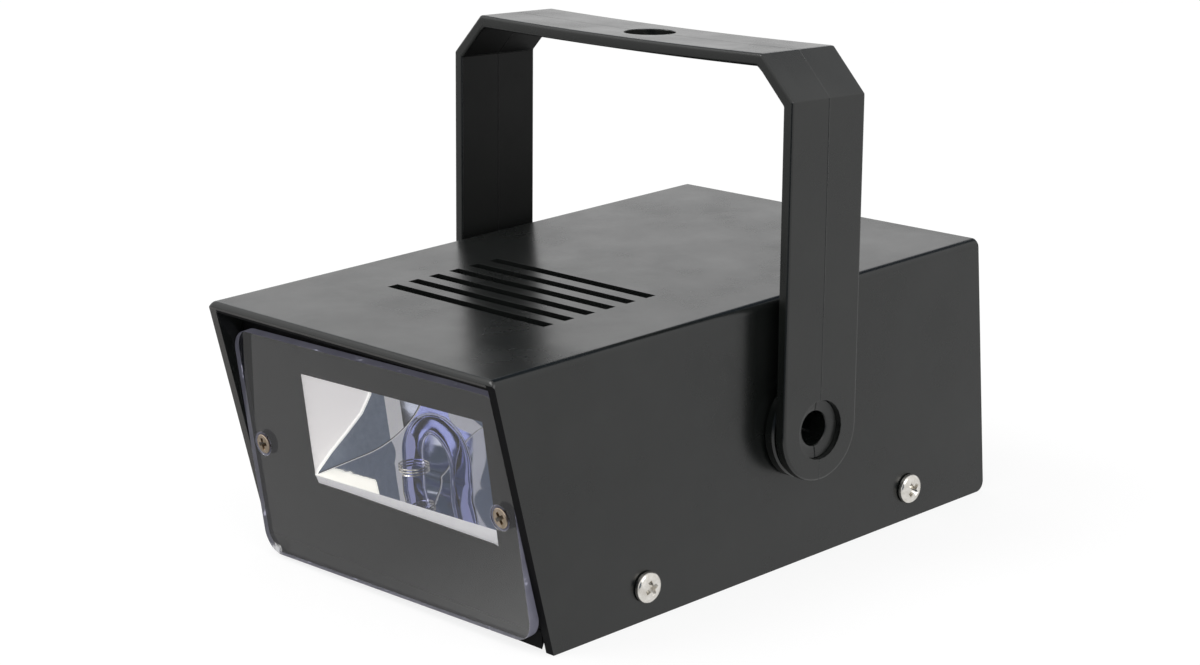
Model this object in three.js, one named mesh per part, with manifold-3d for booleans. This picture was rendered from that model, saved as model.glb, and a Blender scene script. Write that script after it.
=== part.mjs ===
// A mini strobe light: a flat plastic housing with a clear front plate, a mirrored
// trough with a flash tube behind it, a rate knob at the rear, and a U-shaped bracket.
//
// Millimetres, +Z up. Seen from the front, +X is to the right and the light shines
// towards -Y. While it is built, Y = 0 is the top front edge of the housing. The last
// lines move the whole light so that its box is centred on the origin in X and Y.

import * as THREE from 'three';
import { mergeVertices } from 'three/addons/utils/BufferGeometryUtils.js';
import Module from 'manifold-3d';

const wasm = await Module();
wasm.setup();

// Clearances that all pieces share
const seat = 0.3; // gap left between two pieces that rest on each other
const overrun = 1; // how far a cutter runs past the face that it cuts
const root = 0.5; // how deep a rib or boss is sunk into the wall that it grows from

// Housing
const bodyWidth = 83;
const bodyLength = 125.6; // along the top
const bodyHeight = 52.3;
const wall = 2;
const frontLean = 10.4; // the front edges of the side walls fall back by this much
const rearLean = 1.2; // the rear edges run out by this much towards the bottom
const edgeRadius = 1.6; // long top edges
const footRadius = 2; // lower rear corners of the side walls
const innerHalf = bodyWidth / 2 - wall;
const ceiling = bodyHeight - wall;

// Air slots in the top
const slotCount = 6;
const slotPitch = 5.06;
const slotWidth = 2.4;
const slotLength = 44.8;
const firstSlot = 29.4; // from the top front edge to the middle of the first slot

// Base tray
const trayLift = 2.3; // the side walls stand this much lower than the tray
const trayThickness = 2;
const trayTop = trayLift + trayThickness;
const flangeThickness = 1.6;
const flangeHeight = 8;
const bossWidth = 8;
const bossDepth = 7;
const bossHeight = 4.7;
const trayGutter = 1.5; // ridges that hold the foot of an upright panel
const gutterHeight = 3;

// Side screws, pan head, through the side walls into the bosses of the tray
const sideScrewRise = 6.4;
const sideScrewFrontShare = 0.262; // places along the top length
const sideScrewRearShare = 0.826;
const sideHeadRadius = 2.9;
const sideHeadHeight = 1.5;
const sideShankRadius = 1.45;
const sideShankLength = 8;
const recessLength = 3.2;
const recessWidth = 0.8;
const recessDepth = 0.9;

// Front unit: clear plate, dark panel, mirrored trough. Its own frame has its origin
// in the middle of the plate's front face, u = X, w up along the plate, d into the light.
const frontTilt = THREE.MathUtils.degToRad(4.73);
const plateSetback = 5.48; // behind the top front edge, at the middle of the plate
const plateThickness = 2.2;
const plateFoot = 1.6; // height of the plate's lower edge
const plateHeadroom = 5.1; // from the plate's upper edge to the top of the housing
const plateCorner = 4.5;
const plateHalfWidth = innerHalf - seat;
const plateHalfHeight = (bodyHeight - plateHeadroom - plateFoot) / 2 / Math.cos(frontTilt);
const plateMiddle = (bodyHeight - plateHeadroom + plateFoot) / 2;
const panelThickness = 1.2;
const panelFront = plateThickness + seat;
const panelBack = panelFront + panelThickness;
const armThickness = 1.2; // arms of the panel, gripped by the front side screws
const armHeight = 8;

// Window in the panel, a little to the right of the middle. These are the widths of the
// dark border round it, from the edges of the plate.
const borderLeft = 17.9;
const borderRight = 8;
const borderLow = 17.08;
const borderHigh = 5.98;
const windowLeft = borderLeft - plateHalfWidth;
const windowRight = plateHalfWidth - borderRight;
const windowLow = borderLow - plateHalfHeight;
const windowHigh = plateHalfHeight - borderHigh;

// Lens screws, countersunk, one on each side of the window
const lensScrewInset = 4.3; // from the plate's side edge
const lensScrewRaise = 0.15;
const lensHeadRadius = 1.9;
const lensSinkRadius = 2.5;
const lensHeadDepth = 1.2;
const lensShankRadius = 0.95;
const lensShankLength = 6;
const lensBossRadius = 2;
const lensBossLength = 3.6;
const lensScrewU = plateHalfWidth - lensScrewInset;

// Mirrored trough: a flat floor and roof, then a back that is half an ellipse
const mirrorWall = 0.8;
const mirrorLip = 1.5; // the trough's floor lies this much above the window's lower edge
const mirrorFlat = 10; // depth of the flat floor
const mirrorBack = 17.5; // depth of the half ellipse behind it
const mirrorFlange = 2.8;
const mirrorFront = panelBack + seat;
const mirrorLow = windowLow + mirrorLip;
const mirrorHigh = windowHigh + seat;
const mirrorLeft = windowLeft - seat;
const mirrorRight = windowRight + seat;
const stakeRadius = 0.6; // pins of the panel that hold the trough's flanges
const stakeLength = 2;
const stakeShares = [0.12, 0.88]; // across the trough

// U-shaped flash tube, upright in a socket on the circuit board
const tubeRadius = 2;
const tubeSpacingShare = 0.623; // between the two legs, of the height of the trough
const tubeSpacing = (mirrorHigh - mirrorLow) * tubeSpacingShare;
const tubeInset = 22.1; // from the right edge of the window to the tube's middle
const tubeShift = windowRight - tubeInset;
const tubeSetback = 8; // behind the front of the plate
const tubeHeadroom = 5; // from the top of the bend to the roof of the trough
const tubeBendSteps = 8;
const tubeHoleMargin = 1.2;
const socketMargin = 3; // from the legs' centres to the ends of the socket
const socketHeight = 3.2;
const socketFloor = 0.8;
const collarThickness = 0.6; // collar that carries the trigger pulse to the glass
const collarHeight = 1.4;
const collarDrop = 1.9; // below the start of the bend
const triggerLeadRadius = 0.25;

// Circuit board on four posts of the tray
const postHeight = 6.5;
const postRadius = 3;
const boardThickness = 1.6;
const boardSideInset = 5; // from the inner faces of the side walls
const boardSetback = 0.6; // behind the panel
const boardRearInset = 14; // from the rear panel
const postInset = 4;
const boardFoot = trayTop + postHeight + seat;
const boardTop = boardFoot + boardThickness;
const boardHalfWidth = innerHalf - boardSideInset;
const boardHeadRadius = 2.4;
const boardHeadHeight = 1.4;
const boardShankRadius = 1.2;
const boardShankLength = 6;

// Rear panel, rate knob and cable gland
const rearInset = 2.3; // the panel's outer face lies this much inside the rear edge
const rearThickness = 2;
const rearOuter = bodyLength - rearInset;
const rearInner = rearOuter - rearThickness;
const knobRiseShare = 0.54;
const knobPlaceShare = -0.4; // across the half width
const knobRadius = 8;
const knobHeight = 11.7;
const knobFlutes = 16;
const knobFluteRadius = 0.9;
const knobSkirt = 2.4;
const knobMarkWidth = 1.2;
const knobMarkDepth = 0.6;
const knobSocketRadius = 6.4;
const threadRadius = 3.5; // threaded neck of the potentiometer
const threadLength = 4; // outside the rear panel
const potRadius = 8;
const potDepth = 8;
const shaftRadius = 3;
const shaftNeckRadius = 2.4; // inside the threaded neck
const shaftNeckDepth = 3; // inside the potentiometer's body
const shaftLength = 10.2; // outside the rear panel
const potNutRadius = 5.4;
const potNutHeight = 2;
const glandRiseShare = 0.36;
const glandPlaceShare = 0.44;
const glandFlangeRadius = 7;
const glandFlange = 2;
const glandNoseRadius = 5.4;
const glandNose = 5;
const glandBarrelRadius = 4.8;
const glandBarrelReach = 4.4; // inside the rear panel
const glandBore = 3.6;
const glandNutRadius = 7.4;
const glandNutHeight = 2.4;

// Bracket: one flat strip bent to a U, with a hole for a hanging bolt
const stripWidth = 19.5;
const stripThickness = 2.4;
const legGap = 2.9; // from the side walls to the inner faces of the legs
const bracketHalf = bodyWidth / 2 + legGap + stripThickness;
const bracketReach = 69.9; // from the pivots to the top face of the bar
const bracketChamfer = 8;
const bracketLean = THREE.MathUtils.degToRad(3.8); // as photographed, towards the rear
const boltHoleRadius = 5;
const pivotRunShare = 0.5845; // places of the pivots, along the top length and the height
const pivotRiseShare = 0.515;
const pivotRun = bodyLength * pivotRunShare;
const pivotRise = bodyHeight * pivotRiseShare;
const recessRadius = 5.6; // round recess in the outer face of each leg
const recessFloor = 1.35;

// Pivot bush: spacer disc, nipple into the leg and barrel through the side wall
const discRadius = 9.7;
const nippleRadius = 4.3;
const barrelRadius = 4.6;
const barrelReach = 3.4; // inside the side wall
const bushBore = 3.27;
const clipRadius = 6.6;
const clipThickness = 1.4;

// Stops inside the cover, in front of and behind the two upright panels
const stopReach = 1.5;
const stopDepth = 2;

// Parts on the circuit board: [width, depth, height], and their places as shares of the
// half width of the board (to the right) and of its length (to the rear)
const capacitorRadius = 8;
const capacitorHeight = 27;
const capacitorCrimp = 0.6;
const capacitorCrimpWidth = 1.2;
const capacitorCrimpDrop = 3.6; // below the top of the can
const transformerSize = [13, 12, 14];
const triggerCapacitorSize = [10, 4.5, 9];
const thyristorSize = [10, 4.4, 9];
const thyristorTab = [10, 1.3, 15.5];
const thyristorHoleRadius = 1.8;
const resistorWidth = 9;
const resistorHeight = 9;
const resistorLengthShare = 0.311; // of the length of the board
const terminalSize = [11, 8, 10];
const terminalScrewRadius = 1.7;
const terminalScrewDepth = 2;
const diodeCount = 4;
const diodeRadius = 1.4;
const diodeLength = 5.2;
const diodeAcrossShare = -0.62;
const diodePitchShare = 0.0477; // of the length of the board
const diodeGap = 0.7; // from the last diode to the leads of the potentiometer
const fuseRadius = 2.5;
const fuseLength = 20;
const fuseClipWidth = 7.4;
const fuseClipDepth = 4.4;
const fuseClipFoot = 1;
const potLeadRadius = 0.5;
const potLeadPitch = 2.6;
const potLeadDrop = 5; // from the potentiometer's axis
const potLeadReach = 3; // straight stretch at the potentiometer
const capacitorShares = [[-0.46, 0.47], [0.46, 0.47]];
const transformerShare = [-0.55, 0.68];
const triggerCapacitorShare = [-0.05, 0.66];
const thyristorShare = [0.36, 0.66];
const resistorShare = [0.74, 0.75];
const terminalShare = [0.46, 0.95];
const fuseShare = [0.1, 0.85];
const potLeadShare = 0.96;

// Finishes
function plastic(colour, roughness) {
  return new THREE.MeshStandardMaterial({ color: colour, roughness, metalness: 0 });
}
function metal(colour, roughness) {
  return new THREE.MeshStandardMaterial({ color: colour, roughness, metalness: 1 });
}
const blackAbs = plastic(0x2a2b2b, 0.5);
const bracketAbs = plastic(0x2c2e2e, 0.55);
const darkPanel = plastic(0x161718, 0.35);
const nickel = metal(0xc9c6c0, 0.3);
const brassTint = metal(0xb9a88c, 0.35);
const mirror = metal(0xe6e8f0, 0.08);
const tinned = metal(0xb8b8b8, 0.4);
const ceramic = plastic(0xe9e4d8, 0.6);
const boardGreen = plastic(0x2f5a33, 0.5);
const sleeveBlack = plastic(0x1b1c22, 0.4);
const partBlack = plastic(0x202020, 0.6);
const resin = plastic(0x7a2f22, 0.4);
const clear = new THREE.MeshStandardMaterial({
  color: 0xdfe3f2, roughness: 0.05, metalness: 0, transparent: true, opacity: 0.35,
});

// Solids from geometries, and back
const sides = 24;
const screwSides = 16;
const wireSides = 8;

function solid(geometry) {
  const bare = geometry.clone();
  bare.deleteAttribute('normal');
  bare.deleteAttribute('uv');
  const merged = mergeVertices(bare);
  const index = merged.index.array;
  const kept = [];
  for (let i = 0; i < index.length; i += 3) {
    const [a, b, c] = [index[i], index[i + 1], index[i + 2]];
    if (a !== b && b !== c && c !== a) kept.push(a, b, c);
  }
  return new wasm.Manifold(new wasm.Mesh({
    numProp: 3,
    vertProperties: merged.attributes.position.array,
    triVerts: new Uint32Array(kept),
  }));
}

function surface(body) {
  const mesh = body.getMesh();
  const geometry = new THREE.BufferGeometry();
  geometry.setAttribute('position', new THREE.BufferAttribute(mesh.vertProperties, 3));
  geometry.setIndex(new THREE.BufferAttribute(mesh.triVerts, 1));
  geometry.computeVertexNormals();
  return geometry;
}

function join(...bodies) {
  return bodies.reduce((sum, body) => sum.add(body));
}

function cut(body, ...cutters) {
  return cutters.reduce((rest, cutter) => rest.subtract(cutter), body);
}

function piece(name, body, material, group) {
  const mesh = new THREE.Mesh(surface(body), material);
  mesh.name = name;
  group.add(mesh);
  return mesh;
}

// Basic shapes. A range is [low, high] along X, Y or Z.
function block(x, y, z) {
  const geometry = new THREE.BoxGeometry(x[1] - x[0], y[1] - y[0], z[1] - z[0]);
  geometry.translate((x[0] + x[1]) / 2, (y[0] + y[1]) / 2, (z[0] + z[1]) / 2);
  return solid(geometry);
}

// Turns a geometry's own Y axis to the named axis
function along(geometry, axis) {
  if (axis === 'x') geometry.rotateZ(-Math.PI / 2);
  if (axis === 'z') geometry.rotateX(Math.PI / 2);
  return geometry;
}

function rod(axis, radius, range, at, facets = sides) {
  const geometry = along(
    new THREE.CylinderGeometry(radius, radius, range[1] - range[0], facets), axis);
  const middle = (range[0] + range[1]) / 2;
  const [p, q] = at;
  if (axis === 'x') geometry.translate(middle, p, q);
  if (axis === 'y') geometry.translate(p, middle, q);
  if (axis === 'z') geometry.translate(p, q, middle);
  return solid(geometry);
}

// A turned piece: profile points are [radius, height] from the axis back to the axis
function turned(profile, facets = sides) {
  return new THREE.LatheGeometry(profile.map(([r, h]) => new THREE.Vector2(r, h)), facets);
}

// An outline drawn in the YZ plane and run along X
function runAlongX(shape, range, curveSegments = 12) {
  const geometry = new THREE.ExtrudeGeometry(shape, {
    depth: range[1] - range[0], bevelEnabled: false, curveSegments,
  });
  geometry.applyMatrix4(new THREE.Matrix4().makeBasis(
    new THREE.Vector3(0, 1, 0), new THREE.Vector3(0, 0, 1), new THREE.Vector3(1, 0, 0)));
  geometry.translate(range[0], 0, 0);
  return geometry;
}

// An outline drawn in the XZ plane and run along Y
function runAlongY(shape, range, curveSegments = 12) {
  const geometry = new THREE.ExtrudeGeometry(shape, {
    depth: range[1] - range[0], bevelEnabled: false, curveSegments,
  });
  geometry.rotateX(Math.PI / 2);
  geometry.translate(0, range[1], 0);
  return geometry;
}

function polygon(points) {
  return new THREE.Shape(points.map(([x, y]) => new THREE.Vector2(x, y)));
}

function roundedRectangle(halfWidth, halfHeight, radius) {
  const shape = new THREE.Shape();
  const [x, y] = [halfWidth - radius, halfHeight - radius];
  shape.absarc(x, y, radius, 0, Math.PI / 2);
  shape.absarc(-x, y, radius, Math.PI / 2, Math.PI);
  shape.absarc(-x, -y, radius, Math.PI, Math.PI * 1.5);
  shape.absarc(x, -y, radius, Math.PI * 1.5, Math.PI * 2);
  return shape;
}

// A round wire along a list of points
function wire(points, radius, steps, facets = wireSides) {
  const curve = new THREE.CatmullRomCurve3(
    points.map((point) => new THREE.Vector3(...point)), false, 'centripetal');
  const section = new THREE.Shape().absarc(0, 0, radius, 0, Math.PI * 2);
  const geometry = new THREE.ExtrudeGeometry(section, {
    steps, curveSegments: facets / 2, bevelEnabled: false, extrudePath: curve,
  });
  return solid(geometry);
}

// Cross recess cut into a screw head whose outer face is at z = 0
function crossRecess(scale) {
  const half = recessLength * scale / 2;
  const thin = recessWidth * scale / 2;
  const depth = [-recessDepth * scale, overrun];
  const bar = block([-half, half], [-thin, thin], depth);
  return join(bar, block([-thin, thin], [-half, half], depth));
}

// Screws stand on their own frame: the head's outer face looks along +Z
function panScrew(headRadius, headHeight, shankRadius, shankLength) {
  const crown = headHeight / 2;
  const head = along(turned([
    [0, -headHeight - shankLength],
    [shankRadius, -headHeight - shankLength],
    [shankRadius, -headHeight],
    [headRadius, -headHeight],
    [headRadius, -headHeight + crown],
    [headRadius - crown, 0],
    [0, 0],
  ], screwSides), 'z');
  return cut(solid(head), crossRecess(headRadius / sideHeadRadius));
}

function countersunkScrew() {
  const head = along(turned([
    [0, -lensHeadDepth - lensShankLength],
    [lensShankRadius, -lensHeadDepth - lensShankLength],
    [lensShankRadius, -lensHeadDepth],
    [lensHeadRadius, 0],
    [0, 0],
  ], screwSides), 'z');
  return cut(solid(head), crossRecess(lensHeadRadius / sideHeadRadius));
}

const light = new THREE.Group();

// Frame of the front unit
const frontUnit = new THREE.Group();
frontUnit.position.set(0, plateSetback, plateMiddle);
frontUnit.rotation.x = frontTilt;
frontUnit.updateMatrix();
light.add(frontUnit);

// A box of the front unit, in the light's frame
function leaningBlock(u, d, w) {
  const geometry = new THREE.BoxGeometry(u[1] - u[0], d[1] - d[0], w[1] - w[0]);
  geometry.translate((u[0] + u[1]) / 2, (d[0] + d[1]) / 2, (w[0] + w[1]) / 2);
  return solid(geometry.applyMatrix4(frontUnit.matrix));
}

// A round bar of the front unit that runs into the light, in the light's frame
function leaningRod(radius, d, at, facets = screwSides) {
  const geometry = new THREE.CylinderGeometry(radius, radius, d[1] - d[0], facets);
  geometry.translate(at[0], (d[0] + d[1]) / 2, at[1]);
  return solid(geometry.applyMatrix4(frontUnit.matrix));
}

// The light's Y where a plane at depth d of the front unit has the height z
function depthAt(d, z) {
  return plateSetback + d / Math.cos(frontTilt) + (plateMiddle - z) * Math.tan(frontTilt);
}

// The front unit's w where a plane at depth d has the height z
function riseAt(d, z) {
  return (z - plateMiddle - d * Math.sin(frontTilt)) / Math.cos(frontTilt);
}

// The light's Z of a point at depth d and height w of the front unit
function heightAt(d, w) {
  return plateMiddle + d * Math.sin(frontTilt) + w * Math.cos(frontTilt);
}

// Places that several pieces share
const sideScrewRuns = { front: bodyLength * sideScrewFrontShare, rear: bodyLength * sideScrewRearShare };
const handSigns = { left: -1, right: 1 };
const knobAt = [innerHalf * knobPlaceShare, bodyHeight * knobRiseShare];
const glandAt = [innerHalf * glandPlaceShare, bodyHeight * glandRiseShare];
const armOuter = innerHalf - seat;
const armInner = armOuter - armThickness;
const armTop = trayTop + seat + armHeight;
const armEnd = sideScrewRuns.front + bossDepth / 2;
const boardFront = depthAt(panelBack, boardFoot) + boardSetback;
const boardRear = rearInner - boardRearInset;
const boardSeat = boardTop + seat;
const tubeRun = depthAt(tubeSetback, plateMiddle + mirrorLow);
const tubeLegs = [tubeShift - tubeSpacing / 2, tubeShift + tubeSpacing / 2];
const bendRise = heightAt(tubeSetback, mirrorHigh) - tubeHeadroom - tubeRadius - tubeSpacing / 2;
const socketTop = boardSeat + socketHeight;

function symmetric(half) {
  return [-half, half];
}

// The same range on the left or the right side of the light
function onSide(hand, near, far) {
  return hand > 0 ? [near, far] : [-far, -near];
}

// Housing cover: roof and side walls in one piece, open at the front, rear and bottom
function coverShell() {
  const half = bodyWidth / 2;
  const outer = new THREE.Shape();
  outer.moveTo(-half, 0);
  outer.lineTo(half, 0);
  outer.lineTo(half, bodyHeight - edgeRadius);
  outer.absarc(half - edgeRadius, bodyHeight - edgeRadius, edgeRadius, 0, Math.PI / 2);
  outer.absarc(edgeRadius - half, bodyHeight - edgeRadius, edgeRadius, Math.PI / 2, Math.PI);
  const rearFoot = bodyLength + rearLean;
  const profile = new THREE.Shape();
  profile.moveTo(frontLean, 0);
  profile.lineTo(rearFoot - footRadius, 0);
  profile.absarc(rearFoot - footRadius, footRadius, footRadius, -Math.PI / 2, 0);
  profile.lineTo(bodyLength, bodyHeight);
  profile.lineTo(0, bodyHeight);
  const run = [-overrun, rearFoot + overrun];
  const whole = solid(runAlongY(outer, run, 6));
  const hollow = block(symmetric(innerHalf), [run[0] - overrun, run[1] + overrun], [-overrun, ceiling]);
  return cut(whole, hollow).intersect(solid(runAlongX(profile, symmetric(half + overrun), 8)));
}

function coverStops() {
  const side = (hand) => onSide(hand, innerHalf - stopReach, innerHalf + root);
  const roof = [ceiling - stopReach, ceiling + root];
  const upright = [trayTop + flangeHeight + stopReach, ceiling + root];
  const behindPanel = [panelBack + seat, panelBack + seat + stopDepth];
  const leaning = [riseAt(panelBack, armTop + stopReach), riseAt(panelBack, ceiling + root)];
  const behindRear = [rearOuter + seat, rearOuter + seat + trayGutter];
  const beforeRear = [rearInner - seat - stopDepth, rearInner - seat];
  const stops = [behindRear, beforeRear].map((run) => block(symmetric(innerHalf), run, roof));
  for (const hand of Object.values(handSigns)) {
    stops.push(leaningBlock(side(hand), behindPanel, leaning));
    stops.push(block(side(hand), behindRear, upright), block(side(hand), beforeRear, upright));
  }
  return stops;
}

function topCover() {
  const through = symmetric(bodyWidth / 2 + overrun);
  const cutters = [rod('x', barrelRadius + seat, through, [pivotRun, pivotRise])];
  for (const run of Object.values(sideScrewRuns)) {
    cutters.push(rod('x', sideShankRadius + seat, through, [run, sideScrewRise], screwSides));
  }
  for (let i = 0; i < slotCount; i += 1) {
    const middle = firstSlot + i * slotPitch;
    const slot = [middle - slotWidth / 2, middle + slotWidth / 2];
    cutters.push(block(symmetric(slotLength / 2), slot, [ceiling - overrun, bodyHeight + overrun]));
  }
  return cut(join(coverShell(), ...coverStops()), ...cutters);
}
piece('top_cover', topCover(), blackAbs, light);

// Base tray: floor, screw bosses, side flanges, board posts and ridges for the panels
const trayHalf = innerHalf - seat;
const trayFront = depthAt(plateThickness, trayLift) + seat;
const trayRear = rearOuter + seat + trayGutter;
const boardPosts = [];
for (const x of [postInset - boardHalfWidth, boardHalfWidth - postInset]) {
  for (const y of [boardFront + postInset, boardRear - postInset]) boardPosts.push([x, y]);
}

function trayBoss(hand, outerFace, run) {
  const x = onSide(hand, outerFace - bossWidth, outerFace);
  const body = block(x, [run - bossDepth / 2, run + bossDepth / 2],
    [trayTop - root, trayTop + bossHeight]);
  const pilot = [x[0] - overrun, x[1] + overrun];
  return cut(body, rod('x', sideShankRadius + seat, pilot, [run, sideScrewRise], screwSides));
}

function baseTray() {
  const ridge = [trayTop - root, trayTop + gutterHeight];
  const ridgeFront = depthAt(panelBack, trayTop) + seat;
  const channelFront = rearInner - seat - trayGutter;
  const bodies = [
    block(symmetric(trayHalf), [trayFront, trayRear], [trayLift, trayTop]),
    block(symmetric(boardHalfWidth), [ridgeFront, ridgeFront + trayGutter], ridge),
    block(symmetric(trayHalf), [rearOuter + seat, trayRear], ridge),
    block(symmetric(trayHalf), [channelFront, rearInner - seat], ridge),
  ];
  for (const hand of Object.values(handSigns)) {
    bodies.push(trayBoss(hand, armInner - seat, sideScrewRuns.front));
    bodies.push(trayBoss(hand, trayHalf, sideScrewRuns.rear));
    const flange = onSide(hand, trayHalf - flangeThickness, trayHalf);
    const high = [trayTop - root, trayTop + flangeHeight];
    const bossGap = bossDepth / 2 - root;
    bodies.push(block(flange, [armEnd + seat, sideScrewRuns.rear - bossGap], high));
    bodies.push(block(flange, [sideScrewRuns.rear + bossGap, channelFront + root], high));
  }
  for (const post of boardPosts) {
    bodies.push(rod('z', postRadius, [trayTop - root, trayTop + postHeight], post, screwSides));
  }
  const pilots = boardPosts.map((post) => rod('z', boardShankRadius + seat,
    [boardFoot - boardShankLength, boardFoot + overrun], post, screwSides));
  return cut(join(...bodies), ...pilots);
}
piece('base_tray', baseTray(), blackAbs, light);

// Side screws
for (const [end, run] of Object.entries(sideScrewRuns)) {
  for (const [name, hand] of Object.entries(handSigns)) {
    const body = panScrew(sideHeadRadius, sideHeadHeight, sideShankRadius, sideShankLength);
    const screw = piece(`side_screw_${end}_${name}`, body, nickel, light);
    screw.position.set(hand * (bodyWidth / 2 + seat + sideHeadHeight), run, sideScrewRise);
    screw.rotation.y = hand * Math.PI / 2;
  }
}

// Clear front plate with two countersunk holes
function lensPlate() {
  const outline = roundedRectangle(plateHalfWidth, plateHalfHeight, plateCorner);
  const holeRadius = lensShankRadius + seat;
  const sink = turned([
    [0, -overrun],
    [lensSinkRadius, -overrun],
    [lensSinkRadius, 0],
    [holeRadius, lensHeadDepth + seat],
    [holeRadius, plateThickness + overrun],
    [0, plateThickness + overrun],
  ], screwSides);
  const sinks = Object.values(handSigns).map((hand) => solid(
    sink.clone().translate(hand * lensScrewU, 0, lensScrewRaise)));
  return cut(solid(runAlongY(outline, [0, plateThickness], 8)), ...sinks);
}
piece('lens_plate', lensPlate(), clear, frontUnit);

for (const [name, hand] of Object.entries(handSigns)) {
  const screw = piece(`lens_screw_${name}`, countersunkScrew(), brassTint, frontUnit);
  screw.position.set(hand * lensScrewU, 0, lensScrewRaise);
  screw.rotation.x = Math.PI / 2;
}

// Dark front panel with the window, two screw bosses, four pins and two side arms
const stakePlaces = [];
for (const share of stakeShares) {
  const u = mirrorLeft + (mirrorRight - mirrorLeft) * share;
  for (const w of [mirrorLow - mirrorWall - mirrorFlange / 2, mirrorHigh + mirrorWall + mirrorFlange / 2]) {
    stakePlaces.push([u, w]);
  }
}

function frontPanel() {
  const low = riseAt(panelFront, trayTop + seat);
  const high = riseAt(panelBack, ceiling - seat);
  const bodies = [leaningBlock(symmetric(plateHalfWidth), [panelFront, panelBack], [low, high])];
  const bossDepths = [panelBack - root, panelBack + lensBossLength];
  const pilotDepths = [panelFront - overrun, panelBack + lensBossLength + overrun];
  const window = leaningBlock([windowLeft, windowRight],
    [panelFront - overrun, panelBack + overrun], [windowLow, windowHigh]);
  const cutters = [window];
  const armStart = depthAt((panelFront + panelBack) / 2, (trayTop + armTop) / 2);
  for (const hand of Object.values(handSigns)) {
    const lensAt = [hand * lensScrewU, lensScrewRaise];
    bodies.push(leaningRod(lensBossRadius, bossDepths, lensAt));
    cutters.push(leaningRod(lensShankRadius + seat, pilotDepths, lensAt));
    const across = onSide(hand, armInner, armOuter);
    bodies.push(block(across, [armStart, armEnd], [trayTop + seat, armTop]));
    cutters.push(rod('x', sideShankRadius + seat, [across[0] - overrun, across[1] + overrun],
      [sideScrewRuns.front, sideScrewRise], screwSides));
  }
  for (const place of stakePlaces) {
    bodies.push(leaningRod(stakeRadius, [panelBack - root, panelBack + stakeLength], place, wireSides));
  }
  return cut(join(...bodies), ...cutters);
}
piece('front_panel', frontPanel(), darkPanel, light);

// Mirrored trough. Its outline is drawn in the front unit's d and w.
function troughOutline(front, spread) {
  const centre = mirrorFront + mirrorFlat;
  const middle = (mirrorHigh + mirrorLow) / 2;
  const half = (mirrorHigh - mirrorLow) / 2 + spread;
  const shape = new THREE.Shape();
  shape.moveTo(front, middle - half);
  shape.lineTo(centre, middle - half);
  shape.absellipse(centre, middle, mirrorBack + spread, half, -Math.PI / 2, Math.PI / 2);
  shape.lineTo(front, middle + half);
  return shape;
}

function reflector() {
  const outerRun = [mirrorLeft - mirrorWall, mirrorRight + mirrorWall];
  const leaning = (geometry) => solid(geometry.applyMatrix4(frontUnit.matrix));
  const outer = leaning(runAlongX(troughOutline(mirrorFront, mirrorWall), outerRun, 20));
  const hollow = runAlongX(troughOutline(mirrorFront - overrun, 0), [mirrorLeft, mirrorRight], 20);
  const sheet = [mirrorFront, mirrorFront + mirrorWall];
  const lowFlange = [mirrorLow - mirrorWall - mirrorFlange, mirrorLow];
  const highFlange = [mirrorHigh, mirrorHigh + mirrorWall + mirrorFlange];
  const cutters = [leaning(hollow)];
  for (const place of stakePlaces) {
    const through = [mirrorFront - overrun, mirrorFront + mirrorWall + overrun];
    cutters.push(leaningRod(stakeRadius + seat, through, place, wireSides));
  }
  for (const leg of tubeLegs) {
    cutters.push(rod('z', tubeRadius + tubeHoleMargin, [boardTop, bendRise], [leg, tubeRun]));
  }
  const flanges = [leaningBlock(outerRun, sheet, lowFlange), leaningBlock(outerRun, sheet, highFlange)];
  return cut(join(outer, ...flanges), ...cutters);
}
piece('reflector', reflector(), mirror, light);

// Flash tube: two legs and the bend between them
function flashTube() {
  const foot = boardSeat + socketFloor + seat;
  const points = [[tubeLegs[0], tubeRun, foot]];
  for (let i = 0; i <= tubeBendSteps; i += 1) {
    const angle = Math.PI * (1 - i / tubeBendSteps);
    const x = tubeShift + Math.cos(angle) * tubeSpacing / 2;
    points.push([x, tubeRun, bendRise + Math.sin(angle) * tubeSpacing / 2]);
  }
  points.push([tubeLegs[1], tubeRun, foot]);
  return wire(points, tubeRadius, 36, 12);
}
piece('flash_tube', flashTube(), clear, light);

function tubeSocket() {
  const margin = socketMargin;
  const body = block([tubeLegs[0] - margin, tubeLegs[1] + margin], [tubeRun - margin, tubeRun + margin],
    [boardSeat, socketTop]);
  return cut(body, ...tubeLegs.map((leg) => rod('z', tubeRadius + seat,
    [boardSeat + socketFloor, socketTop + overrun], [leg, tubeRun])));
}
piece('tube_socket', tubeSocket(), ceramic, light);

// Collar round one leg of the tube, with its lead down to the socket
function triggerCollar() {
  const inner = tubeRadius + seat;
  const outer = inner + collarThickness;
  const rise = [bendRise - collarDrop - collarHeight, bendRise - collarDrop];
  const at = [tubeLegs[0], tubeRun];
  const band = cut(rod('z', outer, rise, at), rod('z', inner, [rise[0] - overrun, rise[1] + overrun], at));
  const leadAt = [tubeLegs[0], tubeRun - inner - collarThickness / 2];
  return join(band, rod('z', triggerLeadRadius, [socketTop + seat, rise[1]], leadAt, wireSides));
}
piece('trigger_collar', triggerCollar(), nickel, light);

// Circuit board and its screws
function circuitBoard() {
  const body = block(symmetric(boardHalfWidth), [boardFront, boardRear], [boardFoot, boardTop]);
  return cut(body, ...boardPosts.map((post) => rod('z', boardShankRadius + seat,
    [boardFoot - overrun, boardTop + overrun], post, screwSides)));
}
piece('circuit_board', circuitBoard(), boardGreen, light);

boardPosts.forEach(([x, y], i) => {
  const body = panScrew(boardHeadRadius, boardHeadHeight, boardShankRadius, boardShankLength);
  const screw = piece(`board_screw_${i + 1}`, body, nickel, light);
  screw.position.set(x, y, boardTop + seat + boardHeadHeight);
});

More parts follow.
